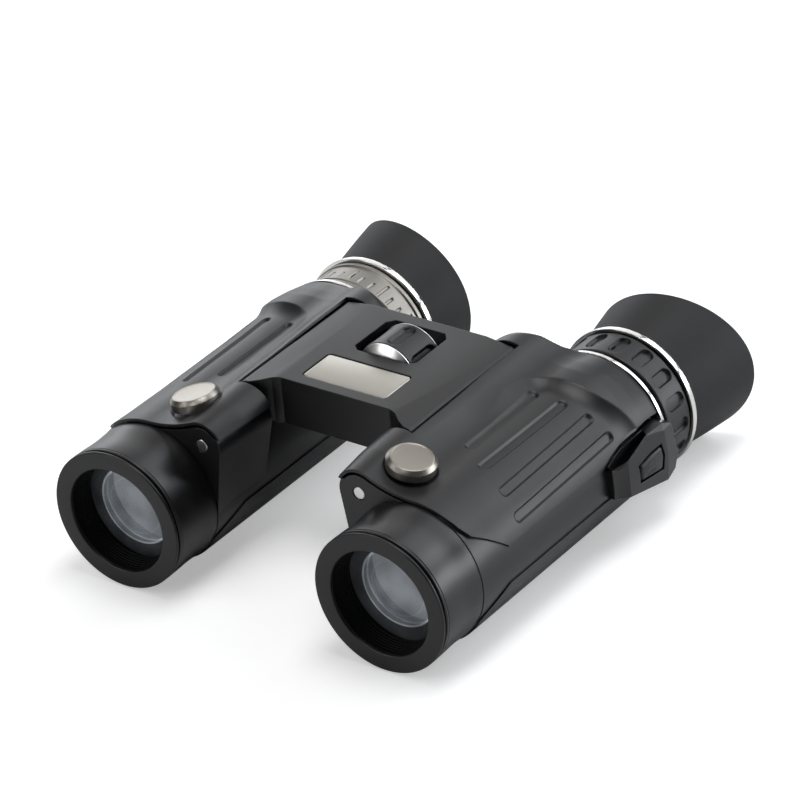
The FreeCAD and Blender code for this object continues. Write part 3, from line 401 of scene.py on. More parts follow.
class Finishes:
    """Every finish of the binoculars, by the record's slot name."""

    SLOTS: tuple[Finish | Glass, ...] = (
        Finish("armour", (0.006, 0.006, 0.007), 0.42, pitch=0.16, depth=0.005, edge=0.12),
        Finish("eyecup_rubber", (0.013, 0.013, 0.014), 0.62, specular=0.4, pitch=0.3, depth=0.012, edge=0.35),
        Finish("painted_housing", (0.005, 0.005, 0.006), 0.36, drift=0.06, pitch=0.12, depth=0.003, edge=0.3),
        Finish("painted_tube", (0.005, 0.005, 0.006), 0.34, drift=0.06, pitch=0.12, depth=0.003, edge=0.3),
        Finish("bridge_paint", (0.006, 0.006, 0.007), 0.4, specular=0.45, drift=0.08, pitch=0.12, depth=0.004,
               edge=0.3),
        Finish("moulded_trim", (0.005, 0.005, 0.006), 0.34, specular=0.42, drift=0.08, pitch=0.14,
               depth=0.004, edge=0.3),
        Finish("blackened_metal", (0.002, 0.002, 0.0025), 0.6, specular=0.15, pitch=0.1, depth=0.003,
               edge=0.2),
        Finish("inner_alloy", (0.55, 0.55, 0.56), 0.35, 1.0, drift=0.08, pitch=0.08, depth=0.002,
               strokes=True, edge=0.15),
        Finish("nickel", (0.32, 0.298, 0.264), 0.35, 1.0, pitch=0.06, depth=0.002, edge=0.12),
        Finish("brushed_plate", (0.40, 0.385, 0.345), 0.36, 1.0, drift=0.16, pitch=0.08, depth=0.004,
               strokes=True, edge=0.12),
        Finish("bright_chrome", (0.74, 0.73, 0.71), 0.14, 1.0, drift=0.06),
        Finish("pin_steel", (0.75, 0.75, 0.75), 0.3, 1.0, drift=0.06, pitch=0.05, depth=0.001, strokes=True,
               edge=0.15),
        Finish("bushing_brass", (0.75, 0.6, 0.3), 0.3, 1.0, drift=0.06, pitch=0.06, depth=0.001, strokes=True,
               edge=0.1),
        Glass("clear_glass", (0.96, 0.97, 0.98)),
    )
    EXTRA: tuple[Finish, ...] = (
        Finish("satin_ring", (0.26, 0.247, 0.225), 0.42, 1.0, drift=0.16, pitch=0.12, depth=0.006),
        Finish("satin_steel", (0.8, 0.8, 0.79), 0.3, 1.0, drift=0.06, pitch=0.06, depth=0.001),
    )
    # Radius in millimetres and brightness of the glowing rings of painted reflection in the coated objective
    # glass.
    PAINTED_RINGS: Profile = ((0.0, 0.3), (4.0, 0.28), (6.3, 0.22), (6.5, 0.3), (6.8, 0.22), (8.6, 0.22), (8.85, 0.5),
                     (9.1, 0.5), (9.25, 0.06), (11.4, 0.05), (12.9, 0.03))

    def __init__(self) -> None:
        """Build the groups and every material."""
        groups = Groups()
        low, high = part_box("right_objective_lens")
        coated = Glass("coated_glass", (0.86, 0.93, 1.0), coating=0.3, painted_rings=self.PAINTED_RINGS,
                       axis=((low.x + high.x) / 2, (low.z + high.z) / 2))
        self.made = {finish.name: finish.build(groups) for finish in (*self.SLOTS, *self.EXTRA, coated)}

    def get(self, name: str) -> bpy.types.Material:
        """The material of one of the record's slots, or one of the extra ones."""
        return self.made[name]


# ---- stage -----------------------------------------------------------------------------------
@dataclass(frozen=True)
class Lamp:
    """One soft lamp that faces the object.

    Attributes:
        name: Name of the lamp.
        place: Its middle, metres.
        size: Its width and height, metres.
        power: Watts.
        colour: Colour of its light.
    """

    name: str
    place: tuple[float, float, float]
    size: tuple[float, float]
    power: float
    colour: Rgb = (1.0, 1.0, 1.0)

    AIM = Vector((0.0, 0.0, 0.02))

    def build(self) -> None:
        """Hang the lamp."""
        data = bpy.data.lights.new(self.name, "AREA")
        data.shape = "RECTANGLE"
        data.size, data.size_y = self.size
        data.energy = self.power
        data.color = self.colour
        lamp = bpy.data.objects.new(self.name, data)
        lamp.location = self.place
        lamp.rotation_euler = (self.AIM - Vector(self.place)).to_track_quat("-Z", "Y").to_euler()
        bpy.context.scene.collection.objects.link(lamp)


@dataclass(frozen=True)
class Studio:
    """Camera, floor, backdrop light and lamps.

    Attributes:
        azimuth: Camera's azimuth, degrees.
        elevation: Camera's elevation, degrees.
        roll: Camera's roll, degrees.
        distance: From the target to the camera, mm.
        target: What the camera looks at, mm.
        lens: Focal length on a 36 mm sensor.
        floor_half: Half width of the floor, metres.
    """

    azimuth: float = 38.102
    elevation: float = 30.091
    roll: float = -5.332
    distance: float = 1079.62
    target: tuple[float, float, float] = (-3.606, 3.611, 22.433)
    lens: float = 225.457
    floor_half: float = 6.0

    COOL = (0.93, 0.96, 1.0)
    LAMPS = (
        Lamp("key", (-0.8, 0.95, 0.8), (1.1, 0.9), 3.6),
        Lamp("low_back", (-1.05, 0.85, 0.25), (1.3, 0.4), 4.5, COOL),
        Lamp("back", (0.3, 1.0, 0.95), (0.9, 0.7), 4.5, COOL),
        Lamp("right_back", (0.95, 0.82, 0.22), (0.9, 0.36), 6.5, COOL),
        Lamp("overhead", (0.12, 0.1, 1.4), (0.7, 0.7), 9.0),
        Lamp("right_high", (0.66, 0.92, 0.7), (0.4, 0.4), 2.2, COOL),
        Lamp("front", (-0.5, -0.95, 0.32), (0.45, 0.4), 2.2),
        Lamp("front_high", (-0.72, -0.65, 0.88), (0.36, 0.36), 1.2),
        Lamp("front_top", (0.06, -0.75, 1.0), (0.35, 0.35), 1.5),
    )

    def camera(self) -> None:
        """Make the camera and make it the scene's own."""
        a, e, r = (math.radians(v) for v in (self.azimuth, self.elevation, self.roll))
        back = Vector((math.sin(a) * math.cos(e), -math.cos(a) * math.cos(e), math.sin(e)))
        right = Vector((math.cos(a), math.sin(a), 0.0))
        up = back.cross(right)
        across = right * math.cos(r) + up * math.sin(r)
        upright = up * math.cos(r) - right * math.sin(r)
        data = bpy.data.cameras.new("camera")
        data.lens = self.lens
        data.sensor_width = 36.0
        data.clip_start = 0.05
        data.clip_end = 20.0
        camera = bpy.data.objects.new("camera", data)
        turn = Matrix((across, upright, back)).transposed().to_4x4()
        camera.matrix_world = Matrix.Translation((Vector(self.target) + back * self.distance) * MM) @ turn
        bpy.context.scene.collection.objects.link(camera)
        bpy.context.scene.camera = camera

    def floor(self) -> None:
        """Lay the pale floor, seen as white with the object's shadow, and brighter far from the object."""
        bm = bmesh.new()
        bmesh.ops.create_grid(bm, x_segments=1, y_segments=1, size=self.floor_half)
        mesh = bpy.data.meshes.new("floor")
        bm.to_mesh(mesh)
        bm.free()
        floor = bpy.data.objects.new("floor", mesh)
        bpy.context.scene.collection.objects.link(floor)
        material = bpy.data.materials.new("floor_paint")
        g = Graph.fresh(material)
        paint = g.add("BsdfDiffuse", Color=(0.85, 0.85, 0.85, 1.0)).outputs[0]
        way = g.add("VectorMath", g.add("TexCoord").outputs["Object"], operation="LENGTH").outputs["Value"]
        glow = g.add("Emission", Color=(1.0, 1.0, 1.0, 1.0), Strength=g.remap(way, 0.3, 1.1, 0.4, 1.0))
        lit = g.add("AddShader", paint, glow.outputs[0])
        g.add("OutputMaterial", g.add("MixShader", g.seen(), paint, lit.outputs[0]).outputs[0])
        mesh.materials.append(material)

    def surroundings(self) -> None:
        """Set the world: white where it is seen, dim to everything else."""
        world = bpy.data.worlds.new("surroundings")
        bpy.context.scene.world = world
        g = Graph.fresh(world)
        strength = g.remap(g.seen(), 0.0, 1.0, 0.035, 1.0)
        sky = g.add("Background", Color=(1.0, 1.0, 1.0, 1.0), Strength=strength)
        g.add("OutputWorld", Surface=sky.outputs[0])

    def build(self) -> None:
        """Set up the whole stage."""
        bpy.context.scene.view_settings.view_transform = "Standard"
        self.camera()
        self.floor()
        self.surroundings()
        for lamp in self.LAMPS:
            lamp.build()
        log.info("stage built")


# ---- mesh helpers ----------------------------------------------------------------------------
def smoothstep(low: float, high: float, value: float) -> float:
    """Smooth rise from 0 at low to 1 at high."""
    t = min(max((value - low) / (high - low), 0.0), 1.0)
    return t * t * (3.0 - 2.0 * t)


def curve_at(points: Profile, value: float) -> float:
    """Read a value off a row of points joined by straight lines.

    Args:
        points: Rising (place, height) pairs.
        value: The place.

    Returns:
        The height, held at both ends.
    """
    if value <= points[0][0]:
        return points[0][1]
    for (a, low), (b, high) in zip(points, points[1:]):
        if value <= b:
            return low + (high - low) * (value - a) / (b - a)
    return points[-1][1]


def softened(corners: Sequence[tuple[float, float, float]], steps: int = 4) -> list[tuple[float, float]]:
    """Round the corners of a closed outline.

    Args:
        corners: Two coordinates and a corner radius for each point.
        steps: Divisions of each rounded corner.

    Returns:
        The outline's points.
    """
    points: list[tuple[float, float]] = []
    count = len(corners)
    for index, (x, y, radius) in enumerate(corners):
        here = Vector((x, y))
        before = Vector(corners[index - 1][:2]) - here
        after = Vector(corners[(index + 1) % count][:2]) - here
        turn = before.angle(after)
        if radius <= 0.0 or turn > math.radians(176):
            points.append((x, y))
            continue
        reach = radius / math.tan(turn / 2)
        reach = min(reach, before.length * 0.48, after.length * 0.48)
        start = here + before.normalized() * reach
        end = here + after.normalized() * reach
        for step in range(steps + 1):
            t = step / steps
            point = start * (1 - t) ** 2 + here * (2 * t * (1 - t)) + end * t ** 2
            points.append((point.x, point.y))
    return points


def lathe(outline: Profile, steps: int = 120, closed: bool = True) -> bmesh.types.BMesh:
    """Turn an outline of (y, radius) points round the Y axis.

    Args:
        outline: The points; an open outline starts and ends on the axis.
        steps: Divisions of the turn.
        closed: Whether the last point joins the first.

    Returns:
        The turned mesh.
    """
    bm = bmesh.new()
    verts = [bm.verts.new((0.0, y, r)) for y, r in outline]
    pairs = list(zip(verts, verts[1:])) + ([(verts[-1], verts[0])] if closed else [])
    edges = [bm.edges.new(pair) for pair in pairs]
    bmesh.ops.spin(bm, geom=verts + edges, axis=(0, 1, 0), angle=math.tau, steps=steps, use_merge=True)
    bmesh.ops.remove_doubles(bm, verts=bm.verts, dist=0.0005)
    bmesh.ops.recalc_face_normals(bm, faces=bm.faces)
    return bm


def slab(outline: Profile, low: float, high: float) -> bmesh.types.BMesh:
    """Raise a flat (x, y) outline from low to high along Z.

    Args:
        outline: The outline's points in order.
        low: Height of the underside.
        high: Height of the top.

    Returns:
        The closed solid's mesh.
    """
    bm = bmesh.new()
    base = bm.faces.new([bm.verts.new((x, y, low)) for x, y in outline])
    raised = bmesh.ops.extrude_face_region(bm, geom=[base])
    tops = [v for v in raised["geom"] if isinstance(v, bmesh.types.BMVert)]
    bmesh.ops.translate(bm, verts=tops, vec=(0, 0, high - low))
    bmesh.ops.recalc_face_normals(bm, faces=bm.faces)
    return bm


def bevel(bm: bmesh.types.BMesh, edges: list[bmesh.types.BMEdge], width: float, segments: int) -> None:
    """Round some edges of a mesh.

    Args:
        bm: The mesh.
        edges: The edges.
        width: Width of the rounding.
        segments: Divisions of the rounding.
    """
    bmesh.ops.bevel(bm, geom=edges, offset=width, offset_type="OFFSET", affect="EDGES", segments=segments,
                    profile=0.5, material=-1, clamp_overlap=True)


def break_edges(bm: bmesh.types.BMesh, width: float, angle: float = 30.0, segments: int = 3,
                keep: Callable[[bmesh.types.BMEdge], bool] | None = None) -> None:
    """Round the sharp edges of a mesh.

    Args:
        bm: The mesh.
        width: Width of the rounding.
        angle: Edges that turn by more than this, degrees.
        segments: Divisions of the rounding.
        keep: Tells which of the sharp edges are rounded; all if missing.
    """
    limit = math.radians(angle)
    edges = [e for e in bm.edges if len(e.link_faces) == 2 and e.calc_face_angle() > limit]
    bevel(bm, [e for e in edges if keep is None or keep(e)], width, segments)


def join(bm: bmesh.types.BMesh, more: bmesh.types.BMesh) -> None:
    """Add one mesh to another as its own shell.

    Args:
        bm: The mesh that grows.
        more: The mesh to add; it is freed.
    """
    spare = bpy.data.meshes.new("spare")
    more.to_mesh(spare)
    more.free()
    bm.from_mesh(spare)
    bpy.data.meshes.remove(spare)


def mirror(bm: bmesh.types.BMesh, side: Side) -> None:
    """Turn a right-hand mesh over where the side is the left one, or back."""
    if side is Side.LEFT:
        bmesh.ops.scale(bm, vec=(-1, 1, 1), verts=bm.verts)
        bmesh.ops.reverse_faces(bm, faces=bm.faces)


def to_metres(bm: bmesh.types.BMesh) -> bmesh.types.BMesh:
    """Scale a mesh from millimetres to metres."""
    bmesh.ops.scale(bm, vec=(MM, MM, MM), verts=bm.verts)
    return bm


def leaning(degrees: float) -> Vector:
    """Upward direction that leans outwards by some degrees."""
    return Vector((math.sin(math.radians(degrees)), 0.0, math.cos(math.radians(degrees))))


def relieve(bm: bmesh.types.BMesh, radius: float, depth: Callable[[float, float], float]) -> None:
    """Lower the outside of a ring round the Y axis.

    Args:
        bm: The ring.
        radius: Its outside radius.
        depth: Depth for a direction in degrees and a place along the axis.
    """
    for vert in bm.verts:
        r = math.hypot(vert.co.x, vert.co.z)
        if r > radius - 0.05:
            fall = depth(math.degrees(math.atan2(vert.co.z, vert.co.x)), vert.co.y)
            vert.co.x *= (r - fall) / r
            vert.co.z *= (r - fall) / r


@dataclass(frozen=True)
class Pockets:
    """Row of oblong pockets with a flat floor round the outside of a ring.

    Attributes:
        count: How many there are.
        turn: Share of a pocket's pitch that the row is turned by.
        length: Length of a pocket.
        width: Its width.
        depth: Its depth.
        wall: Width of its sloping wall.
    """

    count: int
    turn: float
    length: float
    width: float
    depth: float
    wall: float

    def at(self, radius: float, degrees: float, y: float) -> float:
        """Depth of the pockets at a point.

        Args:
            radius: Outside radius of the ring.
            degrees: Direction of the point.
            y: Its place from the middle of the row.

        Returns:
            The depth, mm.
        """
        step = 360.0 / self.count
        half = self.width / 2
        across = math.radians(((degrees / step + self.turn) % 1.0 - 0.5) * step) * radius
        along = max(abs(y) - (self.length / 2 - half), 0.0)
        return self.depth * (1.0 - smoothstep(half - self.wall, half, math.hypot(across, along)))


@dataclass(frozen=True)
class Work:
    """What every sub-assembly needs: the frame's nodes and the finishes.

    Attributes:
        nodes: The frame's own nodes.
        finishes: The finishes.
        slots: Slot of each node.
    """

    nodes: dict[str, bpy.types.Object]
    finishes: Finishes
    slots: dict[str, str]

    def finish(self, bm: bmesh.types.BMesh, name: str, body: str, slot: str, node: str, crease: float = 32.0,
               look: str | None = None, weighted: bool = False) -> None:
        """Make a mesh a finished piece.

        Args:
            bm: The mesh, already in place; it is freed.
            name: Name of the piece.
            body: Body that it rides on.
            slot: Slot of its finish.
            node: Node that it replaces.
            crease: Edges that turn by more than this stay sharp, degrees.
            look: Finish, where it isn't the slot's own.
            weighted: Whether large faces decide the shading of their rounded edges.
        """
        limit = math.radians(crease)
        for edge in bm.edges:
            edge.smooth = len(edge.link_faces) != 2 or edge.calc_face_angle() < limit
        for face in bm.faces:
            face.smooth = True
        mesh = bpy.data.meshes.new(name)
        bm.to_mesh(mesh)
        bm.free()
        mesh.materials.append(self.finishes.get(look or slot))
        piece = bpy.data.objects.new(name, mesh)
        bpy.context.scene.collection.objects.link(piece)
        if weighted:
            shading = piece.modifiers.new("even_shading", "WEIGHTED_NORMAL")
            shading.keep_sharp = True
        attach(piece, body)
        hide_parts(node)
        log.info("%s: %d faces on %s", name, len(mesh.polygons), body)

    def copy(self, node: str) -> bmesh.types.BMesh:
        """Merged copy of a node's mesh with its flat faces made whole, in millimetres.

        Args:
            node: Name of the node.

        Returns:
            The mesh.
        """
        bm = bmesh.new()
        bm.from_mesh(self.nodes[node].data)
        bmesh.ops.scale(bm, vec=(1 / MM, 1 / MM, 1 / MM), verts=bm.verts)
        bmesh.ops.remove_doubles(bm, verts=bm.verts, dist=0.002)
        bmesh.ops.dissolve_limit(bm, angle_limit=math.radians(0.6), verts=bm.verts, edges=bm.edges)
        return bm

    def dress(self, node: str) -> None:
        """Give a node that stays its own finish."""
        mesh = self.nodes[node].data
        mesh.materials.clear()
        mesh.materials.append(self.finishes.get(self.slots[node]))


@dataclass(frozen=True)
class BarrelFrame:
    """Where one barrel's own frame lies, in millimetres.

    Attributes:
        side: Which barrel.
        axis_x: X of the optical axis.
        axis_z: Z of the optical axis.
        front_y: Y of the front face.
    """

    side: Side
    axis_x: float
    axis_z: float
    front_y: float

    @classmethod
    def of(cls, side: Side) -> "BarrelFrame":
        """Read the barrel's frame off the box of its front ring."""
        low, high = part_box(side.node("objective_bezel"))
        return cls(side, (low.x + high.x) / 2 / MM, (low.z + high.z) / 2 / MM, low.y / MM)

    def place(self, bm: bmesh.types.BMesh) -> bmesh.types.BMesh:
        """Move a mesh from barrel millimetres to its place in metres.

        Args:
            bm: The mesh; it is changed.

        Returns:
            The same mesh.
        """
        mirror(bm, self.side)
        bmesh.ops.translate(bm, vec=(self.axis_x, self.front_y, self.axis_z), verts=bm.verts)
        return to_metres(bm)

    def take(self, bm: bmesh.types.BMesh) -> None:
        """Move a mesh from the frame's millimetres to the barrel's own."""
        bmesh.ops.translate(bm, vec=(-self.axis_x, -self.front_y, -self.axis_z), verts=bm.verts)
        mirror(bm, self.side)


# ---- top armour ------------------------------------------------------------------------------
@dataclass(frozen=True)
class Lobe:
    """Cross-section of the armour: a circle round the optical axis, one round the hinge and a
    hollow blend between them.

    Attributes:
        hinge_r: Radius round the hinge.
        axis_r: Radius round the optical axis.
        lift: How far that circle is raised.
        blend: Radius of the hollow blend.
    """

    hinge_r: float
    axis_r: float
    lift: float
    blend: float

    def radius(self, hinge: Vector, angle: float) -> float:
        """Distance from the optical axis to the outline.

        Args:
            hinge: Place of the hinge, (outwards, up).
            angle: Direction, radians from outwards.

        Returns:
            The distance, mm.
        """
        ray = Vector((math.cos(angle), math.sin(angle)))
        axis = Vector((0.0, self.lift))
        span = (axis - hinge).length
        along = (axis - hinge) / span
        across = Vector((-along.y, along.x))
        near = self.hinge_r + self.blend
        far = self.axis_r + self.blend
        a = (near ** 2 - far ** 2 + span ** 2) / (2 * span)
        middle = hinge + along * a + across * math.sqrt(near ** 2 - a ** 2)
        on_hinge = hinge + (middle - hinge) * (self.hinge_r / near)
        on_axis = axis + (middle - axis) * (self.axis_r / far)
        if angle <= math.atan2(on_axis.y, on_axis.x):
            return self.lift * ray.y + math.sqrt(self.axis_r ** 2 - (self.lift * ray.x) ** 2)
        if angle < math.atan2(on_hinge.y, on_hinge.x):
            way = middle.dot(ray)
            return way - math.sqrt(max(self.blend ** 2 - middle.length_squared + way ** 2, 0.0))
        way = hinge.dot(ray)
        return way + math.sqrt(max(self.hinge_r ** 2 - hinge.length_squared + way ** 2, 0.0))


@dataclass(frozen=True)
class Groove:
    """One recessed grip groove.

    Attributes:
        front: Its front end, mm.
        rear: Its rear end, mm.
        front_angle: Direction at the front end, degrees.
        rear_angle: Direction at the rear end, degrees.
    """

    front: float
    rear: float
    front_angle: float
    rear_angle: float

    def centre(self, y: float, half: float) -> tuple[float, float]:
        """Nearest point of the groove's middle line.

        Args:
            y: Place along the barrel.
            half: Half width of the groove.

        Returns:
            Its direction in degrees and its place along the barrel.
        """
        start, end = self.front + half, self.rear - half
        share = min(max((y - start) / (end - start), 0.0), 1.0)
        return self.front_angle + (self.rear_angle - self.front_angle) * share, start + (end - start) * share


@dataclass(frozen=True)
class TopArmour:
    """Grained armour over the top of a barrel and its lugs.

    Attributes:
        front: Front edge, mm behind the front face.
        rear: Rear edge.
        notch_front: Where the cut-out beside the bridge starts.
        notch_rear: Where it ends.
        notch_x: How far inwards the armour reaches beside the bridge.
        lug_edge: Lower edge on the lugs.
        hinge: Place of the hinge axis, (outwards, up).
        wall: Thickness.
        groove_w: Half width of a groove at its rim.
        groove_floor: Half width of its flat floor.
        groove_depth: Its depth.
        badge_r: Radius of the badge's seat.
        badge_top: Middle of the badge's seat, (outwards, back, up).
        badge_tilt: How far the seat leans outwards, degrees.
        badge_sink: How far the seat is sunk.
        round: Width of the rounded outer rim.
        hollow: Width of the hollow in front of the thumb rise.
        crest_fade: Where along the barrel the rise grows.
    """

    front: float = 14.2
    rear: float = 81.4
    notch_front: float = 30.9
    notch_rear: float = 70.4
    notch_x: float = -11.4
    lug_edge: float = 17.3
    hinge: tuple[float, float] = (-13.77, 14.73)
    wall: float = 0.7
    groove_w: float = 1.34
    groove_floor: float = 0.9
    groove_depth: float = 0.5
    badge_r: float = 5.62
    badge_top: tuple[float, float, float] = (-5.8, 22.9, 20.6)
    badge_tilt: float = 13.0
    badge_sink: float = 0.55
    round: float = 0.3
    hollow: float = 4.4
    crest_fade: tuple[float, float] = (44.0, 62.0)

    SPAN = 16.8
    GROOVES = (
        Groove(36.7, 62.2, 96.4, 96.9),
        Groove(32.2, 63.0, 74.6, 73.6),
        Groove(30.3, 64.4, 50.6, 52.6),
        Groove(29.3, 66.0, 30.1, 33.0),
    )
    FRONT_EDGE = ((17.0, 24.5), (18.4, 24.4), (33.0, 19.3), (41.0, 16.1), (50.5, 14.9), (62.0, 14.35),
                  (75.0, 14.2))
    LOW_EDGE = ((14.2, 17.4), (54.0, 17.0), (58.0, 17.2), (60.5, 18.8), (70.0, 26.4), (77.8, 25.6),
                (81.4, 24.0))
    # The crest of the thumb rise: place along the barrel, way round it from outwards, and rounding.
    CREST = softened([(40.0, 30.1, 0), (58.5, 32.2, 12), (64.8, 31.0, 7), (67.3, 27.2, 8), (68.9, 17.3, 12),
                      (72.7, 9.0, 12), (73.8, 1.5, 0)], 8)
    REAR_CAP = ((70.0, 29.0), (71.9, 28.6), (74.4, 27.0), (76.9, 23.6), (78.9, 19.7), (81.4, 16.95))

    def floor_lobe(self, y: float) -> Lobe:
        """Section in front of the thumb rise."""
        return Lobe(
            curve_at(((14.2, 5.6), (22.0, 6.35), (30.9, 6.75), (62.0, 7.15), (70.0, 7.4)), y),
            curve_at(((14.2, 17.0), (20.0, 16.82), (30.9, 16.72), (62.0, 16.8)), y),
            curve_at(((14.2, 0.0), (55.0, 0.0), (66.0, 0.2)), y),
            curve_at(((14.2, 30.0), (22.0, 21.0), (30.9, 17.0), (46.0, 11.5), (62.0, 11.0)), y),
        )

    def rear_lobe(self, y: float) -> Lobe:
        """Section behind the thumb rise."""
        return Lobe(
            7.5,
            curve_at(((60.0, 17.3), (72.0, 17.3), (81.4, 16.75)), y),
            curve_at(((60.0, 1.15), (72.0, 1.15), (76.0, 0.9), (81.4, 0.2)), y),
            curve_at(((60.0, 11.5), (81.4, 14.0)), y),
        )

    def rise(self, y: float, degrees: float) -> float:
        """Share of the thumb rise: 1 behind its crest, falling off in a hollow before it.

        Args:
            y: Place along the barrel.
            degrees: Direction from outwards.

        Returns:
            0 in front of the hollow to 1 behind the crest.
        """
        fade = smoothstep(*self.crest_fade, y)
        if fade <= 0.0:
            return 0.0
        way = math.radians(degrees) * self.SPAN
        if way >= curve_at(self.CREST, y) or y > self.CREST[-1][0]:
            return fade
        nearest = self.hollow
        for (a, low), (b, high) in zip(self.CREST, self.CREST[1:]):
            along, across = b - a, high - low
            off_y, off = y - a, way - low
            share = min(max((off_y * along + off * across) / (along ** 2 + across ** 2), 0.0), 1.0)
            nearest = min(nearest, math.hypot(off_y - share * along, off - share * across))
        return fade * (1.0 - nearest / self.hollow) ** 2

    def skin(self, y: float, degrees: float) -> float:
        """Radius of the armour's outside before grooves and badge seat.

        Args:
            y: Place along the barrel.
            degrees: Direction from outwards.

        Returns:
            Distance from the optical axis.
        """
        hinge = Vector(self.hinge)
        angle = math.radians(degrees)
        radius = self.floor_lobe(y).radius(hinge, angle)
        rise = self.rise(y, degrees)
        if rise > 0:
            radius += (self.rear_lobe(y).radius(hinge, angle) - radius) * rise
        if y > self.REAR_CAP[0][0]:
            cap = curve_at(self.REAR_CAP, y)
            gap = cap - radius
            radius = radius if gap > 1.2 else min(radius, cap) - 0.2 * max(0.0, 1 - abs(gap) / 1.2) ** 2
        return radius

    def carve(self, y: float, degrees: float, radius: float) -> float:
        """Depth of the grooves at a point of the skin.

        Args:
            y: Place along the barrel.
            degrees: Direction from outwards.
            radius: Radius of the skin there.

        Returns:
            How much the skin is lowered.
        """
        deepest = 0.0
        for groove in self.GROOVES:
            centre, nearest = groove.centre(y, self.groove_w)
            across = math.radians(degrees - centre) * radius
            way = math.hypot(across, y - nearest)
            if way < self.groove_w:
                wall = (way - self.groove_floor) / (self.groove_w - self.groove_floor)
                deepest = max(deepest, 1.0 - max(wall, 0.0))
        return deepest * self.groove_depth

    def seat(self, point: Vector) -> float:
        """How far the badge's seat lowers a point of the skin."""
        out = leaning(self.badge_tilt)
        offset = point - Vector(self.badge_top)
        way = (offset - out * offset.dot(out)).length
        return self.badge_sink * (1.0 - smoothstep(self.badge_r - 0.35, self.badge_r + 0.13, way))

    def columns(self) -> list[tuple[int, float, float]]:
        """Zone, share and shift in degrees of every lengthwise grid line.

        Returns:
            Zone 0 runs from the lower edge to the outermost groove, zones 1 to 3 from groove to
            groove, 4 to the notch and 5 to the lug's inner edge.
        """
        degree = math.degrees(1.0 / self.SPAN)
        gap = self.groove_w + 0.2
        wall = (self.groove_w + self.groove_floor) / 2
        near = (self.groove_w + 0.06, self.groove_w, wall, self.groove_floor)
        cluster = [-gap, *(-n for n in near), -0.5, 0.0, 0.5, *reversed(near), gap]
        lines = [(0, 0.0, 0.0), (0, 0.06, 0.0)]
        lines += [(0, 0.06 + 0.94 * i / 9, -gap * degree * i / 9) for i in range(1, 9)]
        for zone, fill in ((1, 12), (2, 12), (3, 18)):
            lines += [(zone, 0.0, shift * degree) for shift in cluster]
            lines += [(zone, i / fill, gap * degree * (1 - 2 * i / fill)) for i in range(1, fill)]
        lines += [(4, 0.0, shift * degree) for shift in cluster]
        lines += [(4, i / 36, gap * degree * (1 - i / 36)) for i in range(1, 36)]
        lines += [(5, 0.0, 0.0)] + [(5, 0.03 + 0.94 * i / 22, 0.0) for i in range(23)] + [(5, 1.0, 0.0)]
        return lines

    def rows(self) -> list[float]:
        """Every crosswise grid line, as a place along the barrel before the front sweep."""
        stops = (self.front, self.front + 0.4, 22.5, 29.0, self.notch_front, 38.2, 61.0,
                 self.notch_rear - 0.5, self.notch_rear, self.notch_rear + 0.5, 80.8, self.rear)
        counts = (1, 38, 20, 8, 32, 19, 36, 2, 2, 30, 1)
        lines: list[float] = []
        for a, b, count in zip(stops, stops[1:], counts):
            lines += [a + (b - a) * i / count for i in range(count)]
        return lines + [self.rear]

    def solve(self, y: float, start: float, end: float, wanted: Callable[[float], float]) -> float:
        """Find the direction where wanted changes sign.

        Args:
            y: Place along the barrel.
            start: Direction where wanted is positive.
            end: Direction where it is negative.
            wanted: Function of the direction, degrees.

        Returns:
            The direction, degrees.
        """
        low, high = start, end
        for _ in range(22):
            middle = (low + high) / 2
            if wanted(middle) > 0:
                low = middle
            else:
                high = middle
        return (low + high) / 2

    def shape(self) -> bmesh.types.BMesh:
        """Shape the armour in barrel millimetres.

        Returns:
            The closed shell.
        """
        columns = self.columns()
        rows = self.rows()
        bm = bmesh.new()
        bmesh.ops.create_grid(bm, x_segments=len(columns) - 1, y_segments=len(rows) - 1, size=1.0)
        bm.verts.ensure_lookup_table()
        key = sorted(bm.verts, key=lambda v: (round(v.co.y, 6), round(v.co.x, 6)))
        doomed = []
        for j, row in enumerate(rows):
            limits = self.limits(row)
            for i, (zone, share, shift) in enumerate(columns):
                vert = key[j * len(columns) + i]
                low, high = limits[zone], limits[zone + 1]
                degrees = low + (high - low) * share + shift
                y = row
                if row < self.notch_front:
                    front = curve_at(self.FRONT_EDGE, degrees)
                    share_y = (row - self.front) / (self.notch_front - self.front)
                    y = front + (self.notch_front - front) * share_y
                radius = self.skin(y, degrees)
                radius -= self.carve(y, degrees, radius)
                angle = math.radians(degrees)
                point = Vector((radius * math.cos(angle), y, radius * math.sin(angle)))
                if zone < 5 or share == 0.0:
                    point -= leaning(self.badge_tilt) * self.seat(point)
                vert.co = point
                beside_bridge = self.notch_front + 0.01 < row < self.notch_rear - 0.01
                if zone == 5 and share > 0 and (beside_bridge or limits[6] - limits[5] < 0.3):
                    doomed.append(vert)
        bmesh.ops.delete(bm, geom=doomed, context="VERTS")
        bmesh.ops.recalc_face_normals(bm, faces=bm.faces)
        sample = max(bm.faces, key=lambda f: f.calc_center_median().z)
        if sample.normal.z < 0:
            bmesh.ops.reverse_faces(bm, faces=bm.faces)
        outside = set(bm.verts)
        bmesh.ops.solidify(bm, geom=list(bm.faces), thickness=self.wall)
        rim = [f for f in bm.faces if 0 < sum(v in outside for v in f.verts) < len(f.verts)]
        edges = {e for f in rim for e in f.edges if all(v in outside for v in e.verts)}
        bevel(bm, list(edges), self.round, 4)
        return bm

    def build(self, barrel: "Barrel") -> None:
        """Make and dress the armour."""
        barrel.add(self.shape(), "top_armour", "armour", "top_cover", crease=40)

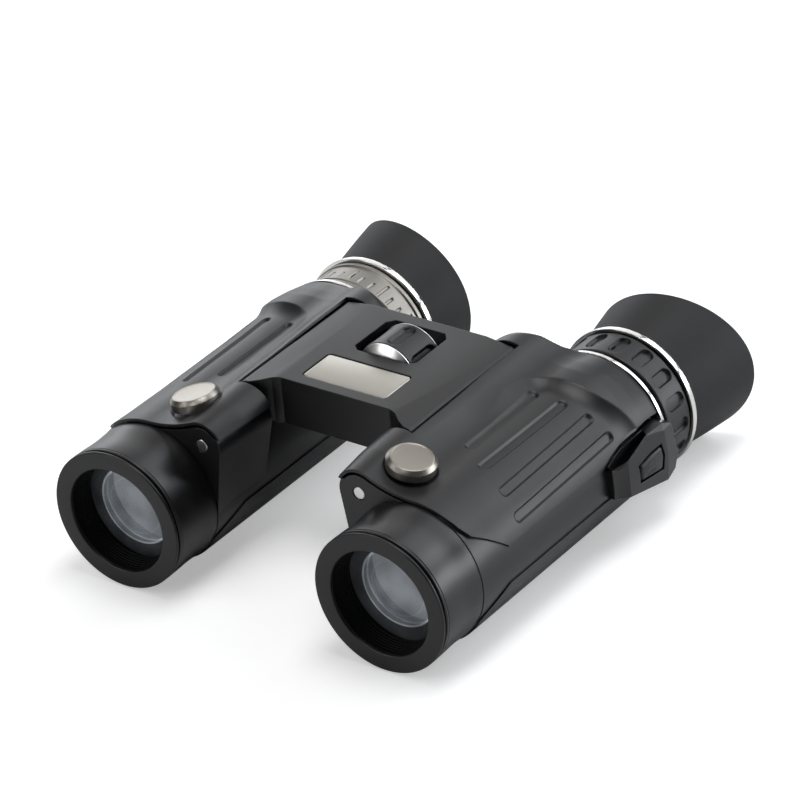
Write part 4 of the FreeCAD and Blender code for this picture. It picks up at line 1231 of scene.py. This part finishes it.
    def limits(self, y: float) -> tuple[float, ...]:
        """Directions that bound the zones at one row.

        Args:
            y: Place along the barrel.

        Returns:
            Lower edge, the four grooves, notch line and inner edge, degrees.
        """
        notch = self.solve(y, 100.0, 140.0,
                           lambda d: self.skin(y, d) * math.cos(math.radians(d)) - self.notch_x)
        inner = notch
        if self.skin(y, notch) * math.sin(math.radians(notch)) > self.lug_edge:
            inner = self.solve(y, notch, 152.0,
                               lambda d: self.skin(y, d) * math.sin(math.radians(d)) - self.lug_edge)
        grooves = [groove.centre(y, self.groove_w)[0] for groove in reversed(self.GROOVES)]
        return (curve_at(self.LOW_EDGE, y), *grooves, notch, inner)


# ---- barrel sub-assemblies -------------------------------------------------------------------
@dataclass(frozen=True)
class FrontEnd:
    """Front ring and waisted front tube of a barrel.

    Attributes:
        opening: Radius of the clear opening.
        ring_r: Outside radius of the front ring.
        ring_len: Length of its face plate.
        groove_len: Length of the groove behind it.
        tube_r: Outside radius of the tube at its ends.
        waist: How far the tube draws in.
        tube_end: Where the tube meets the housing.
        spigot_r: Radius of the tube inside the housing.
        spigot_end: Where the spigot ends.
    """

    opening: float = 12.1
    ring_r: float = 16.2
    ring_len: float = 0.62
    groove_len: float = 0.62
    tube_r: float = 16.2
    waist: float = 0.18
    tube_end: float = 14.17
    spigot_r: float = 13.95
    spigot_end: float = 23.2

    def ring(self) -> bmesh.types.BMesh:
        """Shape the front ring: flat face, rounded rims and a bore that narrows to the lens."""
        return lathe(softened([
            (0.0, self.opening + 0.15, 0.3), (0.0, self.ring_r, 0.34), (self.ring_len, self.ring_r, 0.16),
            (self.ring_len, self.ring_r - 0.5, 0.1), (1.9, self.ring_r - 0.5, 0.0), (1.9, 14.2, 0.0),
            (4.4, 14.2, 0.0), (4.4, 13.2, 0.0), (1.3, 13.2, 0.0), (0.75, self.opening, 0.2),
        ], 6), 144)

    def tube(self) -> bmesh.types.BMesh:
        """Shape the tube with its slight waist and its spigot."""
        start = self.ring_len + self.groove_len
        top = self.tube_r
        outline = softened([
            (2.0, 14.3, 0.0), (2.0, top - 0.6, 0.0), (start, top - 0.6, 0.0), (start, top, 0.3),
            (start + 0.62, top, 0.06), (start + 0.66, top - 0.14, 0.0), (start + 0.78, top - 0.14, 0.0),
            (start + 0.86, top - 0.03, 0.0),
        ])
        steps = 26
        for i in range(1, steps):
            t = i / steps
            y = start + 0.9 + (self.tube_end - start - 1.05) * t
            outline.append((y, top - 0.03 - self.waist * math.sin(math.pi * t ** 1.15) ** 2))
        outline += [(self.tube_end - 0.1, top - 0.03), (self.tube_end, top - 0.12),
                    (self.tube_end, self.spigot_r), (self.spigot_end, self.spigot_r),
                    (self.spigot_end, self.spigot_r - 1.2), (13.8, self.spigot_r - 1.2), (13.8, 12.3),
                    (12.7, 12.3), (12.7, 12.95), (4.7, 12.95), (4.7, 14.3)]
        return lathe(outline, 144)

    def baffle(self) -> bmesh.types.BMesh:
        """Shape the retainer: a dull cone that narrows towards the lens, cut with fine steps."""
        outline = [(7.3, 13.1), (1.4, 13.1)]
        steps = 7
        for i in range(steps):
            y, r = 1.4 + 4.0 * i / steps, 12.95 - 1.3 * i / steps
            outline += [(y, r), (y + 4.0 / steps - 0.06, r)]
        outline += [(5.4, 11.5), (5.55, 11.5), (7.3, 12.6)]
        return lathe(outline, 120)

    def build(self, barrel: "Barrel") -> None:
        """Make and dress the three pieces.

        Args:
            barrel: The barrel that they belong to.
        """
        barrel.add(self.ring(), "front_ring", "moulded_trim", "objective_bezel")
        barrel.add(self.tube(), "waisted_tube", "painted_tube", "front_tube")
        barrel.add(self.baffle(), "stepped_retainer", "blackened_metal", "lens_retainer", crease=25)


@dataclass(frozen=True)
class Badge:
    """Round nickel badge on the front lug, left bare.

    Attributes:
        top: Middle of its face.
        tilt: How far it leans outwards, degrees.
        radius: Its radius.
        height: Its thickness.
    """

    top: tuple[float, float, float] = (-5.8, 22.9, 21.2)
    tilt: float = 13.0
    radius: float = 5.5
    height: float = 2.6

    def shape(self) -> bmesh.types.BMesh:
        """Turn the badge: a flat face inside a bright bevel, over a short wall."""
        r = self.radius
        outline = [(-self.height, 0.0), (-self.height, r - 0.05), (-0.98, r - 0.05), (-0.9, r),
                   (-0.82, r - 0.04), (-0.22, r - 0.66), (-0.06, r - 0.8), (0.0, r - 0.98), (0.0, r - 1.1),
                   (-0.05, r - 1.2), (-0.07, r - 1.4), (-0.07, 0.0)]
        bm = lathe(outline, 96, closed=False)
        turn = Vector((0, 1, 0)).rotation_difference(leaning(self.tilt)).to_matrix()
        bmesh.ops.rotate(bm, verts=bm.verts, cent=(0, 0, 0), matrix=turn)
        bmesh.ops.translate(bm, verts=bm.verts, vec=self.top)
        return bm

    def build(self, barrel: "Barrel") -> None:
        """Make and dress the badge."""
        barrel.add(self.shape(), "bare_badge", "nickel", "badge", crease=20)


@dataclass(frozen=True)
class EyepieceRings:
    """Bright trim rings, the adjusting ring with its finger pads and the plain scale ring.

    Attributes:
        bore: Radius of the eyepiece's tube.
        trim_r: Radius of the trim rings.
        front_trim: Ends of the front one.
        rear_trim: Ends of the rear one.
        ring_r: Radius of the adjusting ring.
        ring: Its ends.
        lead: Length of the low shoulder in front of the finger pads.
        pads: Its finger pads.
        ticks: How many marks the scale has.
    """

    bore: float = 15.25
    trim_r: float = 16.85
    front_trim: tuple[float, float] = (81.7, 82.8)
    rear_trim: tuple[float, float] = (92.85, 94.35)
    ring_r: float = 16.2
    ring: tuple[float, float] = (83.5, 92.5)
    lead: float = 0.8
    pads: Pockets = Pockets(count=17, turn=0.5425, length=6.2, width=3.1, depth=0.74, wall=0.2)
    ticks: int = 36

    def trim(self, ends: tuple[float, float]) -> bmesh.types.BMesh:
        """Turn one trim ring: a rounded band, a fine groove and a lower band."""
        y0, y1 = ends
        r = self.trim_r
        cut = y0 + 0.5 if y1 - y0 < 1.3 else y1 - 0.3
        return lathe(softened([
            (y0, self.bore, 0.0), (y0, r, 0.14), (cut, r, 0.1), (cut, r - 0.3, 0.0),
            (cut + 0.14, r - 0.3, 0.0), (cut + 0.14, r - 0.16, 0.06), (y1, r - 0.16, 0.12),
            (y1, self.bore, 0.0),
        ]), 240)

    def sleeve(self, rows: int, steps: int, lead: float = 0.0) -> bmesh.types.BMesh:
        """Turn a plain ring whose outside has rows lines, ready for its relief.

        Args:
            rows: Lines along the outside.
            steps: Divisions of the turn.
            lead: Length of the low shoulder at its front.

        Returns:
            The ring.
        """
        y0, y1 = self.ring
        outline = [(y0, self.bore + 0.05)]
        if lead:
            outline += [(y0, self.ring_r - 0.8), (y0 + lead, self.ring_r - 0.8)]
            y0 += lead
        outline += [(y0, self.ring_r - 0.3), (y0 + 0.09, self.ring_r - 0.09)]
        outline += [(y0 + 0.3 + (y1 - y0 - 0.6) * i / rows, self.ring_r) for i in range(rows + 1)]
        outline += [(y1 - 0.09, self.ring_r - 0.09), (y1, self.ring_r - 0.3), (y1, self.bore + 0.05)]
        return lathe(outline, steps)

    def pad(self, degrees: float, y: float) -> float:
        """Depth of the finger pads."""
        return self.pads.at(self.ring_r, degrees, y - (sum(self.ring) + self.lead) / 2 - 0.2)

    def mark(self, degrees: float, y: float) -> float:
        """Depth of the plain scale: short marks, every third one longer, and a fine line round it.

        Args:
            degrees: Direction of the point.
            y: Its place along the barrel.

        Returns:
            The depth, mm.
        """
        y0, y1 = self.ring
        step = 360.0 / self.ticks
        number = round(degrees / step)
        across = abs(math.radians(degrees - number * step)) * self.ring_r
        reach = 4.4 if number % 3 == 0 else 2.6
        start = y0 + 2.3
        line = (1.0 - smoothstep(0.2, 0.42, across)) if start < y < start + reach else 0.0
        band = 1.0 - smoothstep(0.1, 0.3, abs(y - (y0 + 1.5)))
        shoulder = 0.34 * smoothstep(y1 - 1.5, y1 - 1.2, y)
        return 0.32 * line + 0.25 * band - shoulder + 0.34

    def build(self, barrel: "Barrel") -> None:
        """Make and dress the rings of one eyepiece.

        Args:
            barrel: The barrel that they belong to.
        """
        both = self.trim(self.front_trim)
        join(both, self.trim(self.rear_trim))
        barrel.add(both, "bright_rings", "bright_chrome", "trim_rings")
        if barrel.side is Side.RIGHT:
            ring = self.sleeve(48, self.pads.count * 36, self.lead)
            relieve(ring, self.ring_r, self.pad)
            barrel.add(ring, "finger_ring", "armour", "diopter_ring", body="diopter_ring")
        else:
            ring = self.sleeve(56, self.ticks * 20)
            relieve(ring, self.ring_r, self.mark)
            barrel.add(ring, "marked_ring", "bright_chrome", "scale_ring", crease=50, look="satin_ring")


@dataclass(frozen=True)
class Eyecup:
    """Soft flared eyecup with a wing on the outer side.

    Attributes:
        front: Its front edge.
        wall: Thickness of the wall.
        seat_r: Radius of the sleeve inside it.
        lip_front: Front of the inner lip.
        lip_rear: Rear of the inner lip.
        lip_r: Radius of the way through.
    """

    front: float = 94.95
    wall: float = 1.7
    seat_r: float = 14.45
    lip_front: float = 100.4
    lip_rear: float = 101.3
    lip_r: float = 12.05

    def rim(self, angle: float) -> float:
        """Place of the rim in a direction, radians from outwards."""
        return (110.4 + 4.1 * math.cos(angle) - 0.8 * math.sin(angle) + 1.0 * math.cos(2 * angle)
                - 0.4 * math.sin(2 * angle))

    def reach(self, y: float) -> float:
        """Outside radius at a place along the barrel."""
        way = y - 95.0
        return 15.34 + 0.191 * way - 0.002 * way * way

    def lift(self, y: float) -> float:
        """How far the section's middle lies above the axis."""
        return 0.15 + 1.2 * smoothstep(90.0, 121.0, y)

    def section(self, angle: float) -> list[tuple[float, float, float]]:
        """Closed outline in one direction.

        Args:
            angle: Direction, radians.

        Returns:
            Place, radius and lift of every point.
        """
        rim = self.rim(angle)
        soft = self.wall / 2
        points = []
        outer = 22
        for i in range(outer + 1):
            y = self.front + 0.15 + (rim - soft - self.front - 0.15) * i / outer
            points.append((y, self.reach(y), self.lift(y)))
        for i in range(1, 8):
            turn = math.pi * i / 8
            y = rim - soft + soft * math.sin(turn)
            points.append((y, self.reach(rim) - soft + soft * math.cos(turn), self.lift(rim)))
        inner = 14
        for i in range(inner + 1):
            y = rim - soft + (self.lip_rear + 0.5 - rim + soft) * i / inner
            points.append((y, self.reach(y) - self.wall, self.lift(y)))
        points += [(self.lip_rear + 0.1, self.reach(self.lip_rear) - self.wall - 0.5, 0.2),
                   (self.lip_rear, self.reach(self.lip_rear) - self.wall - 1.0, 0.15),
                   (self.lip_rear, self.lip_r + 0.2, 0.0), (self.lip_rear - 0.2, self.lip_r, 0.0),
                   (self.lip_front, self.lip_r, 0.0), (self.lip_front, self.seat_r, 0.0),
                   (self.front, self.seat_r, 0.0), (self.front, self.reach(self.front) - 0.15, 0.15)]
        return points

    def shape(self) -> bmesh.types.BMesh:
        """Wrap a grid round the section."""
        around = 144
        count = len(self.section(0.0))
        bm = bmesh.new()
        bmesh.ops.create_grid(bm, x_segments=around, y_segments=count, size=1.0)
        order = sorted(bm.verts, key=lambda v: (round(v.co.x, 6), round(v.co.y, 6)))
        for i in range(around + 1):
            angle = math.tau * (i % around) / around
            section = self.section(angle)
            for j in range(count + 1):
                y, radius, lift = section[j % count]
                height = lift + radius * math.sin(angle)
                order[i * (count + 1) + j].co = (radius * math.cos(angle), y, height)
        bmesh.ops.remove_doubles(bm, verts=bm.verts, dist=0.0005)
        bmesh.ops.recalc_face_normals(bm, faces=bm.faces)
        return bm

    def build(self, barrel: "Barrel") -> None:
        """Make and dress the eyecup."""
        body = barrel.side.node("eyecup")
        barrel.add(self.shape(), "soft_eyecup", "eyecup_rubber", "eyecup", body=body)


@dataclass(frozen=True)
class StrapButton:
    """Release button with three bowed finger ridges along the barrel.

    Attributes:
        ridges: How many ridges it has.
        pitch: From one ridge to the next.
        soft: Width of its rounded rim.
        ridge_len: Length of a ridge.
        ridge_w: Width of a ridge.
        bow: How far a ridge bows.
        shrink: Size of the face against the hole's.
    """

    ridges: int = 3
    pitch: float = 1.2
    soft: float = 0.42
    ridge_len: float = 3.3
    ridge_w: float = 0.62
    bow: float = 0.42
    shrink: float = 0.92

    def ridge(self, y0: float, z0: float, low: float, high: float) -> bmesh.types.BMesh:
        """Shape one bowed ridge.

        Args:
            y0: Middle of the ridge along the barrel.
            z0: Its height.
            low: Where it starts, outwards.
            high: Where it ends, outwards.

        Returns:
            The ridge.
        """
        steps = 10
        half = self.ridge_w / 2
        line = [(t / steps - 0.5) * self.ridge_len for t in range(steps + 1)]
        rise = [self.bow * (1 - (2 * y / self.ridge_len) ** 2) for y in line]
        upper = [(y0 + y, z0 + up + half) for y, up in zip(line, rise)]
        lower = [(y0 + y, z0 + up - half) for y, up in zip(line, rise)]
        bm = slab(lower + upper[::-1], low, high)
        turn = Matrix(((0, 0, 1), (1, 0, 0), (0, 1, 0)))
        bmesh.ops.rotate(bm, verts=bm.verts, cent=(0, 0, 0), matrix=turn)
        break_edges(bm, 0.2, 50, 3)
        return bm

    def build(self, barrel: "Barrel") -> None:
        """Make and dress the button.

        Args:
            barrel: The barrel that it belongs to.
        """
        side = barrel.side
        node = side.node("strap_button")
        low, high = (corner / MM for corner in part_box(node))
        face = max(abs(low.x), abs(high.x))
        bm = barrel.work.copy(node)
        y0, z0 = (low.y + high.y) / 2, (low.z + high.z) / 2
        for vert in bm.verts:
            if abs(vert.co.x) > face - 1.3:
                vert.co.y = y0 + (vert.co.y - y0) * self.shrink
                vert.co.z = z0 + (vert.co.z - z0) * self.shrink
        break_edges(bm, self.soft, 40, 5)
        for i in range(self.ridges):
            up = self.pitch * (i - (self.ridges - 1) / 2)
            ridge = self.ridge(y0 - 0.2, z0 - 0.3 + up, face - 0.5, face)
            mirror(ridge, side)
            join(bm, ridge)
        inwards, back, up = StrapLug.seat
        bmesh.ops.translate(bm, vec=(inwards * side.sign, back, up), verts=bm.verts)
        barrel.add(bm, "ridged_button", "moulded_trim", "strap_button", body=node, local=False)


@dataclass(frozen=True)
class StrapLug:
    """Faceted strap lug with its wide strap slot.

    Attributes:
        crease: Height of the crease across its outer face.
        step: How far out the lug is cut for its upper facets.
        soft: Width of the rounded edges.
        near: How close a corner must be to count as the one that is moved.
        seat: Shift of the lug and its button: outwards, back and up.
    """

    crease: float = 0.4
    step: float = 18.9
    soft: float = 0.3
    near: float = 0.12
    seat: tuple[float, float, float] = (-0.8, 1.0, -0.75)

    # Each corner of the plain solid and where the facets put it: outwards, back and up.
    CORNERS = (
        ((16.65, 63.1, 4.38), (16.95, 59.9, 5.3)),
        ((18.65, 63.1, 4.38), (18.2, 59.9, 5.0)),
        ((18.4, 59.5, 3.9), (18.4, 59.3, 5.0)),
        ((18.4, 59.5, 0.4), (18.75, 59.2, 0.4)),
        ((16.65, 64.8, 4.6), (16.95, 64.1, 7.0)),
        ((18.65, 64.8, 4.6), (18.9, 64.6, 4.7)),
        ((20.0, 64.8, 4.6), (19.2, 64.3, 4.85)),
        ((20.0, 64.8, 0.4), (20.06, 63.2, 0.4)),
        ((20.0, 64.8, -3.4), (20.0, 63.5, -3.2)),
        ((16.65, 71.5, 7.3), (16.8, 71.5, 7.1)),
        ((18.65, 71.5, 7.3), (18.7, 71.6, 6.75)),
        ((20.0, 71.5, 7.3), (19.05, 72.3, 7.05)),
        ((16.65, 73.7, 7.2), (16.65, 73.5, 7.0)),
        ((18.65, 73.7, 7.2), (18.4, 72.7, 6.85)),
        ((20.0, 78.2, 7.0), (19.4, 77.1, 5.65)),
        ((20.0, 79.6, 6.35), (19.5, 77.8, 5.57)),
        ((20.0, 79.6, 0.4), (20.0, 78.1, -1.1)),
        ((20.0, 79.6, -5.73), (20.0, 77.5, -6.45)),
        ((20.0, 77.7, -6.6), (20.0, 76.15, -6.1)),
        ((19.26, 81.2, 5.6), (19.26, 80.95, 5.45)),
        ((19.26, 81.2, 0.4), (19.3, 82.7, -2.55)),
        ((19.26, 81.2, -5.0), (19.4, 81.3, -5.7)),
        ((20.0, 67.25, 2.25), (19.7, 67.25, 2.25)),
        ((20.0, 71.75, 3.05), (19.62, 71.75, 3.05)),
        ((20.0, 76.25, 3.15), (19.67, 76.25, 3.15)),
    )

    def build(self, barrel: "Barrel") -> None:
        """Make and dress the lug.

        Args:
            barrel: The barrel that it belongs to.
        """
        bm = barrel.work.copy(barrel.side.node("strap_lug"))
        barrel.place.take(bm)
        for point, normal in (((0, 0, self.crease), (0, 0, 1)), ((self.step, 0, 0), (1, 0, 0))):
            whole = [*bm.verts, *bm.edges, *bm.faces]
            bmesh.ops.bisect_plane(bm, geom=whole, plane_co=point, plane_no=normal)
        moved = 0
        for vert in bm.verts:
            for old, new in self.CORNERS:
                if (vert.co - Vector(old)).length < self.near:
                    vert.co = new
                    moved += 1
                    break
        log.info("%s lug: %d of %d corners moved", barrel.side.value, moved, len(self.CORNERS))
        break_edges(bm, self.soft, 7.0, 3)
        bmesh.ops.translate(bm, vec=self.seat, verts=bm.verts)
        barrel.add(bm, "faceted_lug", "moulded_trim", "strap_lug", weighted=True)


class Barrel:
    """One whole barrel."""

    STAY = ("objective_lens", "barrel_housing", "focusing_cell", "focusing_lens", "prism_cage", "half_prism",
            "roof_prism", "eyepiece_housing", "ocular_cell", "field_lens", "eye_lens", "bottom_cover",
            "eyecup_insert", "lug_screws")
    PARTS = (TopArmour, FrontEnd, Badge, EyepieceRings, Eyecup, StrapButton, StrapLug)

    def __init__(self, side: Side, work: Work) -> None:
        """Keep the side and find its frame.

        Args:
            side: Which barrel.
            work: Nodes and finishes.
        """
        self.side = side
        self.work = work
        self.place = BarrelFrame.of(side)

    def add(self, bm: bmesh.types.BMesh, name: str, slot: str, node: str, body: str | None = None,
            local: bool = True, **options: object) -> None:
        """Put a mesh in its place and make it one of the barrel's finished pieces.

        Args:
            bm: The mesh, in millimetres.
            name: Name of the piece, without its side.
            slot: Slot of its finish.
            node: Node that it replaces, without its side.
            body: Body that it rides on, where it isn't the barrel.
            local: Whether the mesh is in the barrel's millimetres and not in the whole frame's.
            **options: Further arguments of Work.finish.
        """
        bm = self.place.place(bm) if local else to_metres(bm)
        side = self.side
        self.work.finish(bm, side.node(name), body or side.node("barrel"), slot, side.node(node), **options)

    def build(self) -> None:
        """Make the barrel's own pieces and dress the nodes that stay."""
        for part in self.PARTS:
            part().build(self)
        self.pins()
        for name in self.STAY:
            self.work.dress(self.side.node(name))

    def pins(self) -> None:
        """Round the heads of the hinge pins."""
        bm = self.work.copy(self.side.node("hinge_pins"))
        break_edges(bm, 0.3, 60.0, 5)
        self.add(bm, "round_pins", "pin_steel", "hinge_pins", local=False, crease=30)


# ---- centre ----------------------------------------------------------------------------------
@dataclass(frozen=True)
class Wheel:
    """Focus wheel: bright dished core and a black grip with oblong recesses.

    Attributes:
        radius: Radius of the grip.
        bevel: Length of the front bevel.
        face_r: Radius where the bevel starts.
        rim: Width of the bright line at each end of the grip.
        core_bore: Radius of the core's bore.
        flutes: The recesses in the grip.
    """

    radius: float = 7.7
    bevel: float = 1.0
    face_r: float = 5.2
    rim: float = 0.2
    core_bore: float = 2.0
    flutes: Pockets = Pockets(count=7, turn=0.906, length=8.2, width=3.5, depth=0.75, wall=0.7)

    def build(self, work: Work) -> None:
        """Make and dress the core and the grip.

        Args:
            work: Nodes and finishes.
        """
        low, high = (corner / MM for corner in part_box("focus_wheel_core"))
        x, z = (low.x + high.x) / 2, (low.z + high.z) / 2
        y0, y1 = low.y, high.y
        drum = y0 + self.bevel
        rim_r = self.radius - 0.1
        cone = [(y0 + self.bevel * (i / 8) ** 1.35, self.face_r + (rim_r - self.face_r) * i / 8, 0.0)
                for i in range(9)]
        core = lathe(softened([
            (y0 + 1.5, self.core_bore, 0.0), (y0 + 1.3, 4.1, 0.2), (y0 + 0.25, self.face_r - 0.4, 0.15),
            *cone, (drum + self.rim, rim_r, 0.05), (drum + self.rim, rim_r - 1.0, 0.0),
            (y1 - self.rim, rim_r - 1.0, 0.0), (y1 - self.rim, rim_r, 0.05), (y1, rim_r, 0.12),
            (y1, self.core_bore, 0.0),
        ]), 120)
        start, end = drum + self.rim + 0.01, y1 - self.rim - 0.01
        rows = 40
        outline = [(start, self.radius - 1.05), (start, self.radius - 0.16)]
        outline += [(start + 0.16 + (end - start - 0.32) * i / rows, self.radius) for i in range(rows + 1)]
        outline += [(end, self.radius - 0.16), (end, self.radius - 1.05)]
        grip = lathe(outline, self.flutes.count * 36)
        middle = (start + end) / 2
        relieve(grip, self.radius, lambda degrees, y: self.flutes.at(self.radius, degrees, y - middle))
        for bm in (core, grip):
            bmesh.ops.translate(bm, vec=(x, 0, z), verts=bm.verts)
        work.finish(to_metres(core), "wheel_dished_core", "focus_wheel", "bright_chrome", "focus_wheel_core",
                    look="satin_steel")
        work.finish(to_metres(grip), "wheel_recessed_grip", "focus_wheel", "armour", "focus_wheel_grip")
        work.dress("focus_spindle")


@dataclass(frozen=True)
class Centre:
    """Bridge with its nameplate, cover and inner parts.

    Attributes:
        soft: Width of the bridge's rounded edges.
        shoulder: Width of the slope along its outer top edges.
        plate_edge: Width of the nameplate's bevel.
        plate_corner: Radius of the nameplate's corners.
    """

    soft: float = 0.3
    shoulder: float = 0.9
    plate_edge: float = 0.3
    plate_corner: float = 1.0

    STAY = ("bridge_cover", "bridge_screws", "spindle_bushings", "focus_carriage", "focus_rods")

    def build(self, work: Work) -> None:
        """Make and dress the centre.

        Args:
            work: Nodes and finishes.
        """
        bm = work.copy("bridge")
        low, high = (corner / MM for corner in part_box("bridge"))
        edge = (high.x - low.x) / 2
        top = high.z
        break_edges(bm, self.shoulder, 30.0, 2, keep=lambda e: all(
            abs(v.co.x) > edge - 1.6 and v.co.z > top - 2.2 for v in e.verts))
        break_edges(bm, self.soft, 9.0, 2)
        work.finish(to_metres(bm), "bridge_shell", "bridge", "bridge_paint", "bridge", weighted=True)
        low, high = (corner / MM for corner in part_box("nameplate"))
        corner = self.plate_corner
        outline = softened([(low.x, low.y, corner), (high.x, low.y, corner), (high.x, high.y, corner),
                            (low.x, high.y, corner)], 8)
        plate = slab(outline, low.z, high.z)
        break_edges(plate, self.plate_edge, 60.0, 3,
                    keep=lambda e: all(v.co.z > high.z - 0.01 for v in e.verts))
        work.finish(to_metres(plate), "bare_nameplate", "bridge", "brushed_plate", "nameplate", crease=20)
        for node in self.STAY:
            work.dress(node)


def main() -> None:
    """Build the binoculars."""
    logging.basicConfig(level=logging.INFO, format="%(name)s: %(message)s")
    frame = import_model()
    Studio().build()
    slots = {part["node"]: part["material_slot"] for part in frame["record"]["subparts"]}
    work = Work(frame["nodes"], Finishes(), slots)
    for side in Side:
        Barrel(side, work).build()
    Wheel().build(work)
    Centre().build(work)


if __name__ == "__main__":
    main()
